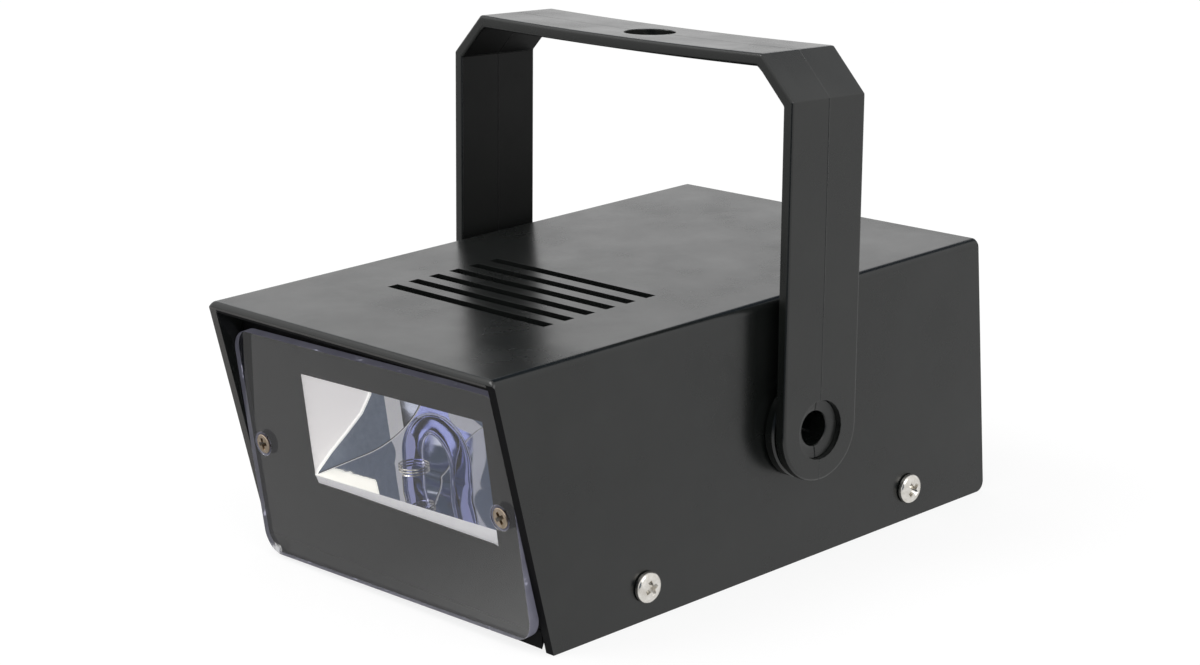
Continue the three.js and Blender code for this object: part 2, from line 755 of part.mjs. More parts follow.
// Parts on the board
function onBoard([across, lengthwise]) {
  return [boardHalfWidth * across, boardFront + (boardRear - boardFront) * lengthwise];
}

function standing([width, depth, height], [x, y]) {
  const [halfWidth, halfDepth] = [width / 2, depth / 2];
  return block([x - halfWidth, x + halfWidth], [y - halfDepth, y + halfDepth],
    [boardSeat, boardSeat + height]);
}

function capacitor(place) {
  const crimp = boardSeat + capacitorHeight - capacitorCrimpDrop;
  const body = rod('z', capacitorRadius, [boardSeat, boardSeat + capacitorHeight], place);
  const range = [crimp, crimp + capacitorCrimpWidth];
  const groove = cut(rod('z', capacitorRadius + overrun, range, place),
    rod('z', capacitorRadius - capacitorCrimp, [range[0] - overrun, range[1] + overrun], place));
  return cut(body, groove);
}
capacitorShares.forEach((share, i) => {
  piece(`capacitor_${i + 1}`, capacitor(onBoard(share)), sleeveBlack, light);
});

piece('trigger_transformer', standing(transformerSize, onBoard(transformerShare)), partBlack, light);
piece('trigger_capacitor', standing(triggerCapacitorSize, onBoard(triggerCapacitorShare)), resin, light);
const resistorSize = [resistorWidth, (boardRear - boardFront) * resistorLengthShare, resistorHeight];
piece('power_resistor', standing(resistorSize, onBoard(resistorShare)), ceramic, light);

// Thyristor: a moulded body with its metal tab standing up behind it
function thyristor() {
  const [x, y] = onBoard(thyristorShare);
  const tabY = y + (thyristorSize[1] - thyristorTab[1]) / 2;
  const holeRise = boardSeat + (thyristorSize[2] + thyristorTab[2]) / 2;
  const hole = rod('y', thyristorHoleRadius, [y - thyristorSize[1], y + thyristorSize[1]], [x, holeRise],
    screwSides);
  return cut(join(standing(thyristorSize, [x, y]), standing(thyristorTab, [x, tabY])), hole);
}
piece('thyristor', thyristor(), partBlack, light);

// Terminal block with two screw wells
function terminalBlock() {
  const [x, y] = onBoard(terminalShare);
  const top = boardSeat + terminalSize[2];
  const wells = Object.values(handSigns).map((hand) => rod('z', terminalScrewRadius,
    [top - terminalScrewDepth, top + overrun], [x + hand * terminalSize[0] / 4, y], screwSides));
  return cut(standing(terminalSize, [x, y]), ...wells);
}
piece('terminal_block', terminalBlock(), boardGreen, light);

const [diodeX, leadRun] = onBoard([diodeAcrossShare, potLeadShare]);
const lastDiode = leadRun - potLeadRadius - diodeGap - diodeRadius;
const diodePitch = (boardRear - boardFront) * diodePitchShare;
for (let i = 0; i < diodeCount; i += 1) {
  const range = [diodeX - diodeLength / 2, diodeX + diodeLength / 2];
  const at = [lastDiode - (diodeCount - 1 - i) * diodePitch, boardSeat + diodeRadius];
  piece(`diode_${i + 1}`, rod('x', diodeRadius, range, at, screwSides), partBlack, light);
}

// Fuse in two clips
const [fuseX, fuseY] = onBoard(fuseShare);
const fuseRise = boardSeat + fuseClipFoot + seat + fuseRadius;
const fuseBody = rod('y', fuseRadius, [fuseY - fuseLength / 2, fuseY + fuseLength / 2], [fuseX, fuseRise]);
piece('fuse', fuseBody, ceramic, light);

for (const [name, end] of [['front', -1], ['rear', 1]]) {
  const middle = fuseY + end * (fuseLength - fuseClipDepth) / 2;
  const run = [middle - fuseClipDepth / 2, middle + fuseClipDepth / 2];
  const body = block([fuseX - fuseClipWidth / 2, fuseX + fuseClipWidth / 2], run,
    [boardSeat, fuseRise + fuseRadius / 2]);
  const cradle = rod('y', fuseRadius + seat, [run[0] - overrun, run[1] + overrun], [fuseX, fuseRise]);
  piece(`fuse_clip_${name}`, cut(body, cradle), tinned, light);
}

// Rear panel
const throughRear = [rearInner - overrun, rearOuter + overrun];
const rearPanel = cut(
  block(symmetric(innerHalf - seat), [rearInner, rearOuter], [trayTop + seat, ceiling - seat]),
  rod('y', threadRadius + seat, throughRear, knobAt),
  rod('y', glandBarrelRadius + seat, throughRear, glandAt),
);
piece('rear_panel', rearPanel, blackAbs, light);

// Potentiometer: body with threaded neck, nut, and shaft
const potFace = rearInner - seat;
const threadEnd = rearOuter + threadLength;
const shaftFoot = potFace - shaftNeckDepth;
const potBody = cut(
  join(rod('y', potRadius, [potFace - potDepth, potFace], knobAt),
    rod('y', threadRadius, [potFace - root, threadEnd], knobAt)),
  rod('y', shaftNeckRadius + seat, [shaftFoot - seat, threadEnd + overrun], knobAt),
);
piece('pot_body', potBody, tinned, light);

const nutRange = [rearOuter + seat, rearOuter + seat + potNutHeight];
const potNut = cut(rod('y', potNutRadius, nutRange, knobAt, 6),
  rod('y', threadRadius + seat, [nutRange[0] - overrun, nutRange[1] + overrun], knobAt));
piece('pot_nut', potNut, nickel, light);

// The shaft and the knob turn together. They stand in a group on the knob's axis.
const knobUnit = new THREE.Group();
knobUnit.position.set(knobAt[0], 0, knobAt[1]);
light.add(knobUnit);
const onAxis = [0, 0];
const shaftEnd = rearOuter + shaftLength;
const shaftStep = threadEnd + seat;
const knobFoot = rearOuter + seat;
const knobTop = knobFoot + knobHeight;

// What is cut off a round bar or bore to give it a flat
function flatChip(range, flat) {
  return block(symmetric(knobRadius), range, [flat, knobRadius]);
}

const shaft = cut(
  join(rod('y', shaftNeckRadius, [shaftFoot, shaftStep + root], onAxis),
    rod('y', shaftRadius, [shaftStep, shaftEnd], onAxis)),
  flatChip([shaftStep, shaftEnd + overrun], shaftRadius / 2),
);
piece('pot_shaft', shaft, tinned, knobUnit);

function speedKnob() {
  const body = rod('y', knobRadius, [knobFoot, knobTop], onAxis, 48);
  const cutters = [
    rod('y', knobSocketRadius, [knobFoot - overrun, shaftStep], onAxis),
    cut(rod('y', shaftRadius + seat, [shaftStep - overrun, shaftEnd + seat], onAxis),
      flatChip([shaftStep, shaftEnd + overrun], shaftRadius / 2 + seat)),
    block(symmetric(knobMarkWidth / 2), [knobTop - knobMarkDepth, knobTop + overrun],
      [knobRadius / 4, knobRadius + overrun]),
  ];
  for (let i = 0; i < knobFlutes; i += 1) {
    const angle = (i + 1 / 2) * Math.PI * 2 / knobFlutes;
    const reach = knobRadius + knobFluteRadius / 2;
    const at = [Math.sin(angle) * reach, Math.cos(angle) * reach];
    cutters.push(rod('y', knobFluteRadius, [knobFoot + knobSkirt, knobTop + overrun], at, wireSides));
  }
  return cut(body, ...cutters);
}
piece('speed_knob', speedKnob(), blackAbs, knobUnit);

// Leads from the potentiometer down to the board
for (let i = 0; i < 3; i += 1) {
  const x = knobAt[0] + (i - 1) * potLeadPitch;
  const high = knobAt[1] - potLeadDrop;
  const start = potFace - potDepth - seat;
  const body = wire([
    [x, start, high],
    [x, start - potLeadReach, high],
    [x, leadRun, (high + boardTop) / 2],
    [x, leadRun, boardTop + seat],
  ], potLeadRadius, 12, 6);
  piece(`pot_lead_${i + 1}`, body, resin, light);
}

// Cable gland, open for the supply cable, and its nut inside
const glandFoot = rearOuter + seat;
const cableGland = cut(
  join(rod('y', glandFlangeRadius, [glandFoot, glandFoot + glandFlange], glandAt),
    rod('y', glandNoseRadius, [glandFoot, glandFoot + glandNose], glandAt),
    rod('y', glandBarrelRadius, [rearInner - glandBarrelReach, glandFoot + root], glandAt)),
  rod('y', glandBore, [rearInner - glandBarrelReach - overrun, glandFoot + glandNose + overrun], glandAt),
);
piece('cable_gland', cableGland, partBlack, light);

const glandNutRange = [rearInner - seat - glandNutHeight, rearInner - seat];
const glandNut = cut(rod('y', glandNutRadius, glandNutRange, glandAt, 6),
  rod('y', glandBarrelRadius + seat, [glandNutRange[0] - overrun, glandNutRange[1] + overrun], glandAt));
piece('gland_nut', glandNut, partBlack, light);

// Bracket, in a group that turns about the pivots
const bracketUnit = new THREE.Group();
bracketUnit.position.set(0, pivotRun, pivotRise);
bracketUnit.rotation.x = -bracketLean;
light.add(bracketUnit);

function bracket() {
  const bend = stripThickness * (Math.SQRT2 - 1);
  const inner = bracketHalf - stripThickness;
  const roofIn = bracketReach - stripThickness;
  const shoulder = bracketReach - bracketChamfer;
  const knee = bracketHalf - bracketChamfer;
  const right = [[bracketHalf, 0], [bracketHalf, shoulder], [knee, bracketReach]];
  const rightIn = [[knee - bend, roofIn], [inner, shoulder - bend], [inner, 0]];
  const flip = ([x, z]) => [-x, z];
  const outline = polygon([
    ...right,
    ...right.map(flip).reverse(),
    ...rightIn.map(flip).reverse(),
    ...rightIn,
  ]);
  const half = stripWidth / 2;
  const bodies = [solid(runAlongY(outline, symmetric(half)))];
  const cutters = [rod('z', boltHoleRadius, [roofIn - overrun, bracketReach + overrun], onAxis)];
  for (const hand of Object.values(handSigns)) {
    const beyond = onSide(hand, inner - overrun, bracketHalf + overrun);
    bodies.push(rod('x', half, onSide(hand, inner, bracketHalf), onAxis, 48));
    cutters.push(rod('x', nippleRadius + seat, beyond, onAxis));
    const recess = onSide(hand, bracketHalf - recessFloor, bracketHalf + overrun);
    cutters.push(rod('x', recessRadius, recess, onAxis));
  }
  return cut(join(...bodies), ...cutters);
}
piece('bracket', bracket(), bracketAbs, bracketUnit);

// Hollow bushes on which the legs of the bracket turn, each held by a clip inside
for (const [name, hand] of Object.entries(handSigns)) {
  const at = [pivotRun, pivotRise];
  const wallFace = bodyWidth / 2 + seat;
  const legFace = bracketHalf - stripThickness - seat;
  const tip = bracketHalf - recessFloor;
  const tail = innerHalf - barrelReach;
  const body = join(rod('x', discRadius, onSide(hand, wallFace, legFace), at, 48),
    rod('x', nippleRadius, onSide(hand, wallFace, tip), at),
    rod('x', barrelRadius, onSide(hand, tail, wallFace + root), at));
  const bore = rod('x', bushBore, onSide(hand, tail - overrun, tip + overrun), at);
  piece(`pivot_bush_${name}`, cut(body, bore), bracketAbs, light);
  const grip = onSide(hand, innerHalf - seat - clipThickness, innerHalf - seat);
  const clip = cut(rod('x', clipRadius, grip, at),
    rod('x', barrelRadius + seat, [grip[0] - overrun, grip[1] + overrun], at));
  piece(`pivot_clip_${name}`, clip, nickel, light);
}

// The light's box is centred on the origin in X and Y, and stands on Z = 0
const part = new THREE.Group();
light.position.y = -knobTop / 2;
part.add(light);

export default part;
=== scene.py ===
# %% [markdown]
# # A small strobe light
#
# The light is a flat box of black moulded plastic. A clear plate closes its front, a
# mirrored trough with a bent flash tube shines through a window, and a U-shaped
# bracket lets it hang and tilt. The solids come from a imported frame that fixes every
# size. This script gives each piece its finish and its fine shape: rounded edges,
# cross recesses, a sagging bar, a bright mirror and glass.

# %% Load the frame
import math

import bmesh
import bpy
from mathutils import Matrix, Vector


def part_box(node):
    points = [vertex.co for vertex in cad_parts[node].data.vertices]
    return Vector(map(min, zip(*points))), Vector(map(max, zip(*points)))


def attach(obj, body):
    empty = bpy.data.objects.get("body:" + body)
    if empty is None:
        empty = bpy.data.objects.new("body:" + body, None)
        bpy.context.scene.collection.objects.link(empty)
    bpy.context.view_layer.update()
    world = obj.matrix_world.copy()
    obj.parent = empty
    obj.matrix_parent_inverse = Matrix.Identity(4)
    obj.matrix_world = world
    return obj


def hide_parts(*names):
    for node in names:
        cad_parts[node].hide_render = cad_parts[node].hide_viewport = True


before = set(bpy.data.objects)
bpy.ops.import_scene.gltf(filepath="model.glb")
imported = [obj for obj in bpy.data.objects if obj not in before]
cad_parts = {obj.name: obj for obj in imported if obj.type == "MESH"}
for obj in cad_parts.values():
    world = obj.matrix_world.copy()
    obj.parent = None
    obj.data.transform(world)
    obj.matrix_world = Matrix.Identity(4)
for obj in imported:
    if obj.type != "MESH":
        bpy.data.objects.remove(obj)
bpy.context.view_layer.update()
scene = bpy.context.scene
scene.view_settings.view_transform = "Standard"
MM = 0.001
ORIGIN = Vector((0, 0, 0))
RIGHT = Vector((1, 0, 0))
REAR = Vector((0, 1, 0))
UP = Vector((0, 0, 1))


def linked_object(name, data):
    item = bpy.data.objects.new(name, data)
    scene.collection.objects.link(item)
    return item


def box_of(node):
    return [Vector(corner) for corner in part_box(node)]


print("nodes in the frame:", len(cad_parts))

# %% [markdown]
# Everything is measured from the frame's own boxes, so the looks follow the solids.
# The cover's box gives the housing, the bush's box gives the axis that the bracket
# turns about, and the plate's box gives the front unit with its small forward lean.
# On the photographed light the plate, its window and its mirror are screwed in about
# one degree out of square, so the front unit has a twist about its own middle too.

# %% Places that the pieces share
cover_low, cover_high = box_of("top_cover")
plate_low, plate_high = box_of("lens_plate")
bush_low, bush_high = box_of("pivot_bush_right")
FRONT_LEAN = math.radians(4.73)
FRONT_TWIST = math.radians(-1.1)
PLATE_THICKNESS = 2.2 * MM
BRACKET_LEAN = math.radians(3.8)
pivot = Vector((0, (bush_low.y + bush_high.y) / 2, (bush_low.z + bush_high.z) / 2))
plate_middle_z = (plate_low.z + plate_high.z - PLATE_THICKNESS * math.sin(FRONT_LEAN)) / 2
plate_middle_y = (plate_low.y + plate_high.y - PLATE_THICKNESS * math.cos(FRONT_LEAN)) / 2
straight_unit = Matrix.Translation((0, plate_middle_y, plate_middle_z)) @ Matrix.Rotation(FRONT_LEAN, 4, "X")
front_unit = straight_unit @ Matrix.Rotation(FRONT_TWIST, 4, "Y")
bracket_unit = Matrix.Translation(pivot) @ Matrix.Rotation(-BRACKET_LEAN, 4, "X")
print("pivot at", [round(value / MM, 2) for value in pivot], "mm")
print("plate centre at", round(plate_middle_y / MM, 2), round(plate_middle_z / MM, 2), "mm")

# %% [markdown]
# The camera stands to the right of the front and a little above the roof, about half
# a metre away. Its place was found from the straight edges of the housing and the
# bracket in the photograph, and it is held a little over two degrees out of level.

# %% Camera
CAMERA_AZIMUTH = math.radians(47.93)
CAMERA_ELEVATION = math.radians(15.69)
CAMERA_ROLL = math.radians(-2.40)
CAMERA_LENS = 80.997
CAMERA_SENSOR = 36
CAMERA_NEAR = 0.01
CAMERA_FROM_ROOF_FRONT = Vector((373.57, -275.31, 181.19)) * MM


def look_rotation(azimuth, elevation, roll):
    back = Vector((math.sin(azimuth) * math.cos(elevation),
                   -math.cos(azimuth) * math.cos(elevation), math.sin(elevation)))
    right = UP.cross(back).normalized()
    up = back.cross(right)
    turned_right = right * math.cos(roll) + up * math.sin(roll)
    turned_up = up * math.cos(roll) - right * math.sin(roll)
    return Matrix((turned_right, turned_up, back)).transposed()


camera_data = bpy.data.cameras.new("camera")
camera_data.sensor_width = CAMERA_SENSOR
camera_data.lens = CAMERA_LENS
camera_data.clip_start = CAMERA_NEAR
scene.camera = linked_object("camera", camera_data)
camera_place = CAMERA_FROM_ROOF_FRONT + Vector((0, cover_low.y, 0))
rotation = look_rotation(CAMERA_AZIMUTH, CAMERA_ELEVATION, CAMERA_ROLL)
scene.camera.matrix_world = Matrix.Translation(camera_place) @ rotation.to_4x4()
print("camera at", [round(value, 3) for value in camera_place])

# %% [markdown]
# All finishes and the set are node trees. A few helpers keep them short. One makes a
# node and fills its inputs, each from a socket or from a value. The others give noise,
# ramps, blends, bumps, products, and how far a place lies along a direction. They find
# their tree through the first socket that they are given.

# %% Helpers for node trees
def set_inputs(node, inputs):
    """Links each named input from a socket, or sets it to a value."""
    for name, value in inputs.items():
        if isinstance(value, bpy.types.NodeSocket):
            node.id_data.links.new(value, node.inputs[name])
        else:
            node.inputs[name].default_value = value


def add_node(tree, kind, inputs=None, **settings):
    node = tree.nodes.new(kind)
    for name, value in settings.items():
        setattr(node, name, value)
    set_inputs(node, inputs or {})
    return node


def shader_parts(material):
    """The shader of a finish and its object coordinates."""
    nodes = material.node_tree.nodes
    where = next(node for node in nodes if node.type == "TEX_COORD").outputs["Object"]
    return nodes["Principled BSDF"], where


def shader(name):
    material = bpy.data.materials.new(name)
    material.use_nodes = True
    add_node(material.node_tree, "ShaderNodeTexCoord")
    return (material, *shader_parts(material))


def noise(where, scale, detail=2.0, roughness=0.5):
    inputs = {"Vector": where, "Scale": scale, "Detail": detail, "Roughness": roughness}
    return add_node(where.id_data, "ShaderNodeTexNoise", inputs).outputs["Fac"]


def spread(value, low, high, start=0.3, end=0.7, **settings):
    """Stretches a value, often the middle range of a noise, to the range low to high."""
    inputs = {"Value": value, "From Min": start, "From Max": end, "To Min": low, "To Max": high}
    return add_node(value.id_data, "ShaderNodeMapRange", inputs, **settings).outputs["Result"]


def ramp(value, start, end, low, high):
    """Runs smoothly from low to high while the value runs from start to end."""
    return spread(value, low, high, start, end, interpolation_type="SMOOTHSTEP")


def blend_colours(value, *colours):
    """Mixes two colours, each a socket or three numbers."""
    first, second = (item if isinstance(item, bpy.types.NodeSocket) else (*item, 1) for item in colours)
    inputs = {"Factor": value, "A": first, "B": second}
    return add_node(value.id_data, "ShaderNodeMix", inputs, data_type="RGBA").outputs["Result"]


def bump(height, depth):
    inputs = {"Height": height, "Distance": depth}
    return add_node(height.id_data, "ShaderNodeBump", inputs).outputs["Normal"]


def combined(operation, *values):
    tree = values[0].id_data
    return add_node(tree, "ShaderNodeMath", dict(enumerate(values)), operation=operation).outputs[0]


def product(first, *others):
    for value in others:
        first = combined("MULTIPLY", first, value)
    return first


def vector_math(operation, *values):
    tree = values[0].id_data
    return add_node(tree, "ShaderNodeVectorMath", dict(enumerate(values)), operation=operation).outputs


def along(where, direction, point=ORIGIN):
    """How far a place lies from a point along a direction."""
    offset = vector_math("SUBTRACT", where, point)["Vector"]
    return vector_math("DOT_PRODUCT", offset, direction)["Value"]


print("node helpers ready")

# %% [markdown]
# The set is a white tent. The world is white to the camera, to gloss and through
# glass, because black plastic shows little but what it mirrors. It lights matt
# surfaces less strongly. A tent has a dark opening for the lens, from which the
# mirrored trough takes its dark parts. The opening suits the photograph's view: from
# behind the roof mirrors it too, and looks dark blue. The tent is also open above the
# back, which draws a dark line along the rounded edges of the roof.

# %% World
WHITE = (1, 1, 1)
WORLD_LIGHT = 0.75
OPENING_COLOUR = (0.04, 0.065, 0.105)
OPENING_INNER = math.radians(17)
OPENING_OUTER = math.radians(26)
OPENING_FLATTEN = (1, 1, 0.45)
CEILING_RISE = (0.42, 0.52)
CEILING_REAR = (0.1, 0.3)
CEILING_SIDE = (0.02, 0.12)


def dark_opening(direction):
    """1 in the opening round the lens, 0 on the white of the tent."""
    flat = vector_math("MULTIPLY", direction, OPENING_FLATTEN)["Vector"]
    unit = vector_math("NORMALIZE", flat)["Vector"]
    to_lens = Vector((math.sin(CAMERA_AZIMUTH), -math.cos(CAMERA_AZIMUTH), 0))
    return ramp(along(unit, to_lens), math.cos(OPENING_OUTER), math.cos(OPENING_INNER), 0, 1)


def dark_ceiling(direction):
    """1 above the light, behind it and to the left, where the tent is open to a dark room."""
    return product(ramp(along(direction, UP), *CEILING_RISE, 0, 1),
                   ramp(along(direction, REAR), *CEILING_REAR, 0, 1),
                   ramp(along(direction, RIGHT), *CEILING_SIDE, 1, 0))


def white_world():
    world = bpy.data.worlds.new("white_tent")
    scene.world = world
    world.cycles.sampling_method = "NONE"
    world.use_nodes = True
    tree = world.node_tree
    tree.nodes.clear()
    path = add_node(tree, "ShaderNodeLightPath").outputs
    direction = add_node(tree, "ShaderNodeTexCoord").outputs["Generated"]
    seen = combined("MAXIMUM", path["Is Camera Ray"], path["Is Glossy Ray"])
    clear = combined("MAXIMUM", seen, path["Is Transmission Ray"])
    dark = combined("MAXIMUM", dark_opening(direction), dark_ceiling(direction))
    shade = product(path["Is Glossy Ray"], dark)
    background = add_node(tree, "ShaderNodeBackground", {
        "Strength": ramp(clear, 0, 1, WORLD_LIGHT, 1),
        "Color": blend_colours(shade, WHITE, OPENING_COLOUR)})
    add_node(tree, "ShaderNodeOutputWorld", {"Surface": background.outputs["Background"]})


white_world()
print("world made, matt surfaces see a level of", WORLD_LIGHT)

# %% [markdown]
# Two soft lamps add the rest of the light, so that the floor keeps a faint shadow
# under the housing. The floor glows a little for the camera, as an overexposed paper
# sweep does, and less in what the gloss mirrors, above all on the left. The paper
# ends just in front of the light on the lens's side, which the trough mirrors too.

# %% Lamps and floor
LAMP_AIM = Vector((0, 0, 0.03))
FLOOR_HALF = 3.0
FLOOR_DROP = 0.02 * MM
FLOOR_GLOW = 1.05
FLOOR_SHARE = 0.8
FLOOR_SIDE = (-0.02, 0.05)
FLOOR_MIRRORED = (0.5, 0.92)
PAPER_COLOUR = (0.86, 0.86, 0.86, 1)
PAPER_EDGE = Vector((0.058, -0.100, 0))
PAPER_OUTWARD = Vector((-0.38, -1, 0)).normalized()
PAPER_BLUR = 0.001
PAPER_SIDE = (0.01, 0.03)


def soft_lamp(name, place, size, power):
    data = bpy.data.lights.new(name, "AREA")
    data.shape = "DISK"
    data.size = size
    data.energy = power
    aim = (LAMP_AIM - Vector(place)).to_track_quat("-Z", "Y")
    linked_object(name, data).matrix_world = Matrix.Translation(place) @ aim.to_matrix().to_4x4()


def mirrored_floor(tree):
    """What gloss sees of the paper: its glow, dark past its front edge."""
    where = add_node(tree, "ShaderNodeTexCoord").outputs["Object"]
    across = along(where, RIGHT)
    beyond = along(where, PAPER_OUTWARD, PAPER_EDGE)
    past_edge = product(ramp(beyond, -PAPER_BLUR, PAPER_BLUR, 0, 1),
                        ramp(across, *PAPER_SIDE, 0, 1))
    return add_node(tree, "ShaderNodeEmission", {
        "Strength": ramp(across, *FLOOR_SIDE, *FLOOR_MIRRORED),
        "Color": blend_colours(past_edge, WHITE, OPENING_COLOUR)}).outputs["Emission"]


def sweep_material():
    material = bpy.data.materials.new("white_floor")
    material.use_nodes = True
    tree = material.node_tree
    tree.nodes.clear()
    path = add_node(tree, "ShaderNodeLightPath").outputs
    paper = add_node(tree, "ShaderNodeBsdfDiffuse", {"Color": PAPER_COLOUR}).outputs["BSDF"]
    glow = add_node(tree, "ShaderNodeEmission", {"Strength": FLOOR_GLOW}).outputs["Emission"]
    seen = combined("MAXIMUM", path["Is Camera Ray"], path["Is Transmission Ray"])
    share = ramp(seen, 0, 1, 0, FLOOR_SHARE)
    bright = add_node(tree, "ShaderNodeMixShader", {"Fac": share, 1: paper, 2: glow}).outputs["Shader"]
    inputs = {"Fac": path["Is Glossy Ray"], 1: bright, 2: mirrored_floor(tree)}
    last = add_node(tree, "ShaderNodeMixShader", inputs)
    add_node(tree, "ShaderNodeOutputMaterial", {"Surface": last.outputs["Shader"]})
    return material


soft_lamp("key_lamp", (-0.5, -0.7, 1.1), 0.8, 7.0)
soft_lamp("fill_lamp", (0.9, -0.2, 0.9), 0.9, 4.0)
floor_mesh = bpy.data.meshes.new("floor")
SQUARE = ((-1, -1), (1, -1), (1, 1), (-1, 1))
floor_mesh.from_pydata([(x * FLOOR_HALF, y * FLOOR_HALF, 0) for x, y in SQUARE], [], [(0, 1, 2, 3)])
floor_mesh.materials.append(sweep_material())
floor = linked_object("floor", floor_mesh)
floor.location.z = -FLOOR_DROP
print("floor and lamps are up")

# %% [markdown]
# Most finishes are one shader with small noise in it. Moulded plastic is never a flat
# colour: the mould's fine grain breaks up its gloss, and handling leaves cloudy
# patches that are a little smoother. Noise on the object's own coordinates gives both,
# once as a bump and once in the roughness. The bracket has a fine line down its middle,
# where the halves of its mould met.

# %% Finishes: moulded plastic
CLOUD_SCALE = 60
GRAIN_SCALE = 1100
GRAIN_DEPTH = 0.004 * MM
PANEL_GRAIN_DEPTH = 0.0005 * MM
MOULD_LINE_HALF = 0.16 * MM
MOULD_LINE_DEPTH = 0.14 * MM


def moulded_plastic(name, dark, light, smooth, rough, gloss=0.5, grain_depth=GRAIN_DEPTH):
    material, body, where = shader(name)
    cloud = noise(where, CLOUD_SCALE, 5.0, 0.6)
    set_inputs(body, {
        "Specular IOR Level": gloss,
        "Base Color": blend_colours(spread(cloud, 0, 1), dark, light),
        "Roughness": spread(cloud, rough, smooth),
        "Normal": bump(noise(where, GRAIN_SCALE, 3.0), grain_depth)})
    return material


def add_mould_line(material):
    """A fine raised line on the middle plane of the bracket, through the pivot."""
    _, where = shader_parts(material)
    grain = next(node for node in material.node_tree.nodes if node.type == "BUMP")
    reach = combined("ABSOLUTE", along(where, bracket_unit.to_3x3() @ REAR, pivot))
    line = bump(ramp(reach, 0, MOULD_LINE_HALF, 1, 0), MOULD_LINE_DEPTH)
    set_inputs(grain, {"Normal": line})


housing_black = moulded_plastic("housing_black", (0.0045, 0.0055, 0.005), (0.009, 0.010, 0.0095), 0.2, 0.3)
bracket_black = moulded_plastic("bracket_black", (0.003, 0.004, 0.0035), (0.006, 0.007, 0.006),
                                0.2, 0.3, 0.55)
# A darker, duller copy of the bracket's finish: painted shade on its inner faces.
bracket_shaded = moulded_plastic("bracket_shaded", (0.0025, 0.003, 0.0028), (0.005, 0.0055, 0.005),
                                0.4, 0.5, 0.2)
for material in (bracket_black, bracket_shaded):
    add_mould_line(material)
# A pale copy of the housing's finish: a painted highlight on the rim round the plate.
rim_painted_light = moulded_plastic("rim_painted_light", (0.022, 0.021, 0.020), (0.036, 0.034, 0.031), 0.2, 0.3)
knob_black = moulded_plastic("knob_black", (0.006, 0.006, 0.006), (0.01, 0.01, 0.01), 0.5, 0.62)
panel_black = moulded_plastic("panel_black", (0.004, 0.004, 0.0045), (0.006, 0.006, 0.0065), 0.6, 0.7, 0.06,
                              PANEL_GRAIN_DEPTH)
resin_black = moulded_plastic("resin_black", (0.012, 0.012, 0.012), (0.02, 0.02, 0.02), 0.45, 0.6)
terminal_green = moulded_plastic("terminal_green", (0.02, 0.13, 0.04), (0.03, 0.17, 0.06), 0.4, 0.5)
resin_red = moulded_plastic("resin_red", (0.22, 0.03, 0.015), (0.3, 0.05, 0.02), 0.25, 0.35)
ceramic_white = moulded_plastic("ceramic_white", (0.68, 0.65, 0.58), (0.76, 0.74, 0.68), 0.6, 0.75)
print("plastic finishes made")

# %% [markdown]
# Metals are nearly a mirror, broken by scratches. Plated screws vary from bright nickel
# to a yellowish tint. The trough is a bright sheet: it is flat enough to mirror the
# room, and its slow waves bend what it mirrors. Its folds and flanges are satin and glow
# pale with painted light, and its brushed end glows dark blue, a painted reflection.

# %% Finishes: metal
STAIN_SCALE = 700
SCRATCH_SCALE = 2600
SCRATCH_DEPTH = 0.004 * MM
HAZE_SCALE = 90
WAVE_SCALE = 55
WAVE_DEPTH = 0.25 * MM


def plated_metal(name, bright, dull, smooth, rough):
    material, body, where = shader(name)
    stain = noise(where, STAIN_SCALE, 4.0, 0.6)
    set_inputs(body, {
        "Metallic": 1.0,
        "Base Color": blend_colours(spread(stain, 0, 1), bright, dull),
        "Roughness": spread(stain, smooth, rough),
        "Normal": bump(noise(where, SCRATCH_SCALE), SCRATCH_DEPTH)})
    return material


def frosted_metal_painted_glow(name, bright, dull, glow):
    material = plated_metal(name, bright, dull, 0.4, 0.55)
    body, _ = shader_parts(material)
    # The emission paints light: the part glows in its own colour.
    set_inputs(body, {"Metallic": 0.25, "Emission Color": (*bright, 1), "Emission Strength": glow})
    return material


def mirror_sheet():
    material, body, where = shader("mirror_sheet")
    haze = noise(where, HAZE_SCALE, 4.0)
    set_inputs(body, {
        "Metallic": 1.0,
        "Base Color": blend_colours(haze, (0.80, 0.82, 0.90), (0.90, 0.91, 0.95)),
        "Roughness": spread(haze, 0.02, 0.07),
        "Normal": bump(noise(where, WAVE_SCALE, 1.0), WAVE_DEPTH)})
    return material


nickel = plated_metal("nickel", (0.78, 0.76, 0.72), (0.60, 0.57, 0.52), 0.14, 0.3)
yellow_zinc = plated_metal("yellow_zinc", (0.55, 0.45, 0.36), (0.34, 0.27, 0.18), 0.2, 0.38)
plain_steel = plated_metal("plain_steel", (0.55, 0.55, 0.55), (0.42, 0.42, 0.42), 0.3, 0.45)
mirror = mirror_sheet()
satin_sheet = plated_metal("satin_sheet", (0.92, 0.91, 0.93), (0.84, 0.83, 0.86), 0.25, 0.4)
dark_sheet = plated_metal("dark_sheet", (0.10, 0.10, 0.13), (0.07, 0.07, 0.09), 0.1, 0.2)
# These glow with painted light; the dark blue end paints a reflection.
frosted_sheet_painted_glow = frosted_metal_painted_glow("frosted_sheet_painted_glow", (0.90, 0.87, 0.87), (0.82, 0.79, 0.80), 0.55)
pale_strip_painted_glow = frosted_metal_painted_glow("pale_strip_painted_glow", (0.85, 0.84, 0.86), (0.78, 0.77, 0.80), 0.35)
bright_fold_painted_highlight = frosted_metal_painted_glow("bright_fold_painted_highlight", (1.0, 0.99, 0.96), (0.95, 0.93, 0.90), 0.65)
brushed_end_painted_reflection = frosted_metal_painted_glow("brushed_end_painted_reflection", (0.12, 0.15, 0.21), (0.07, 0.09, 0.13), 0.5)
print("metal finishes made")

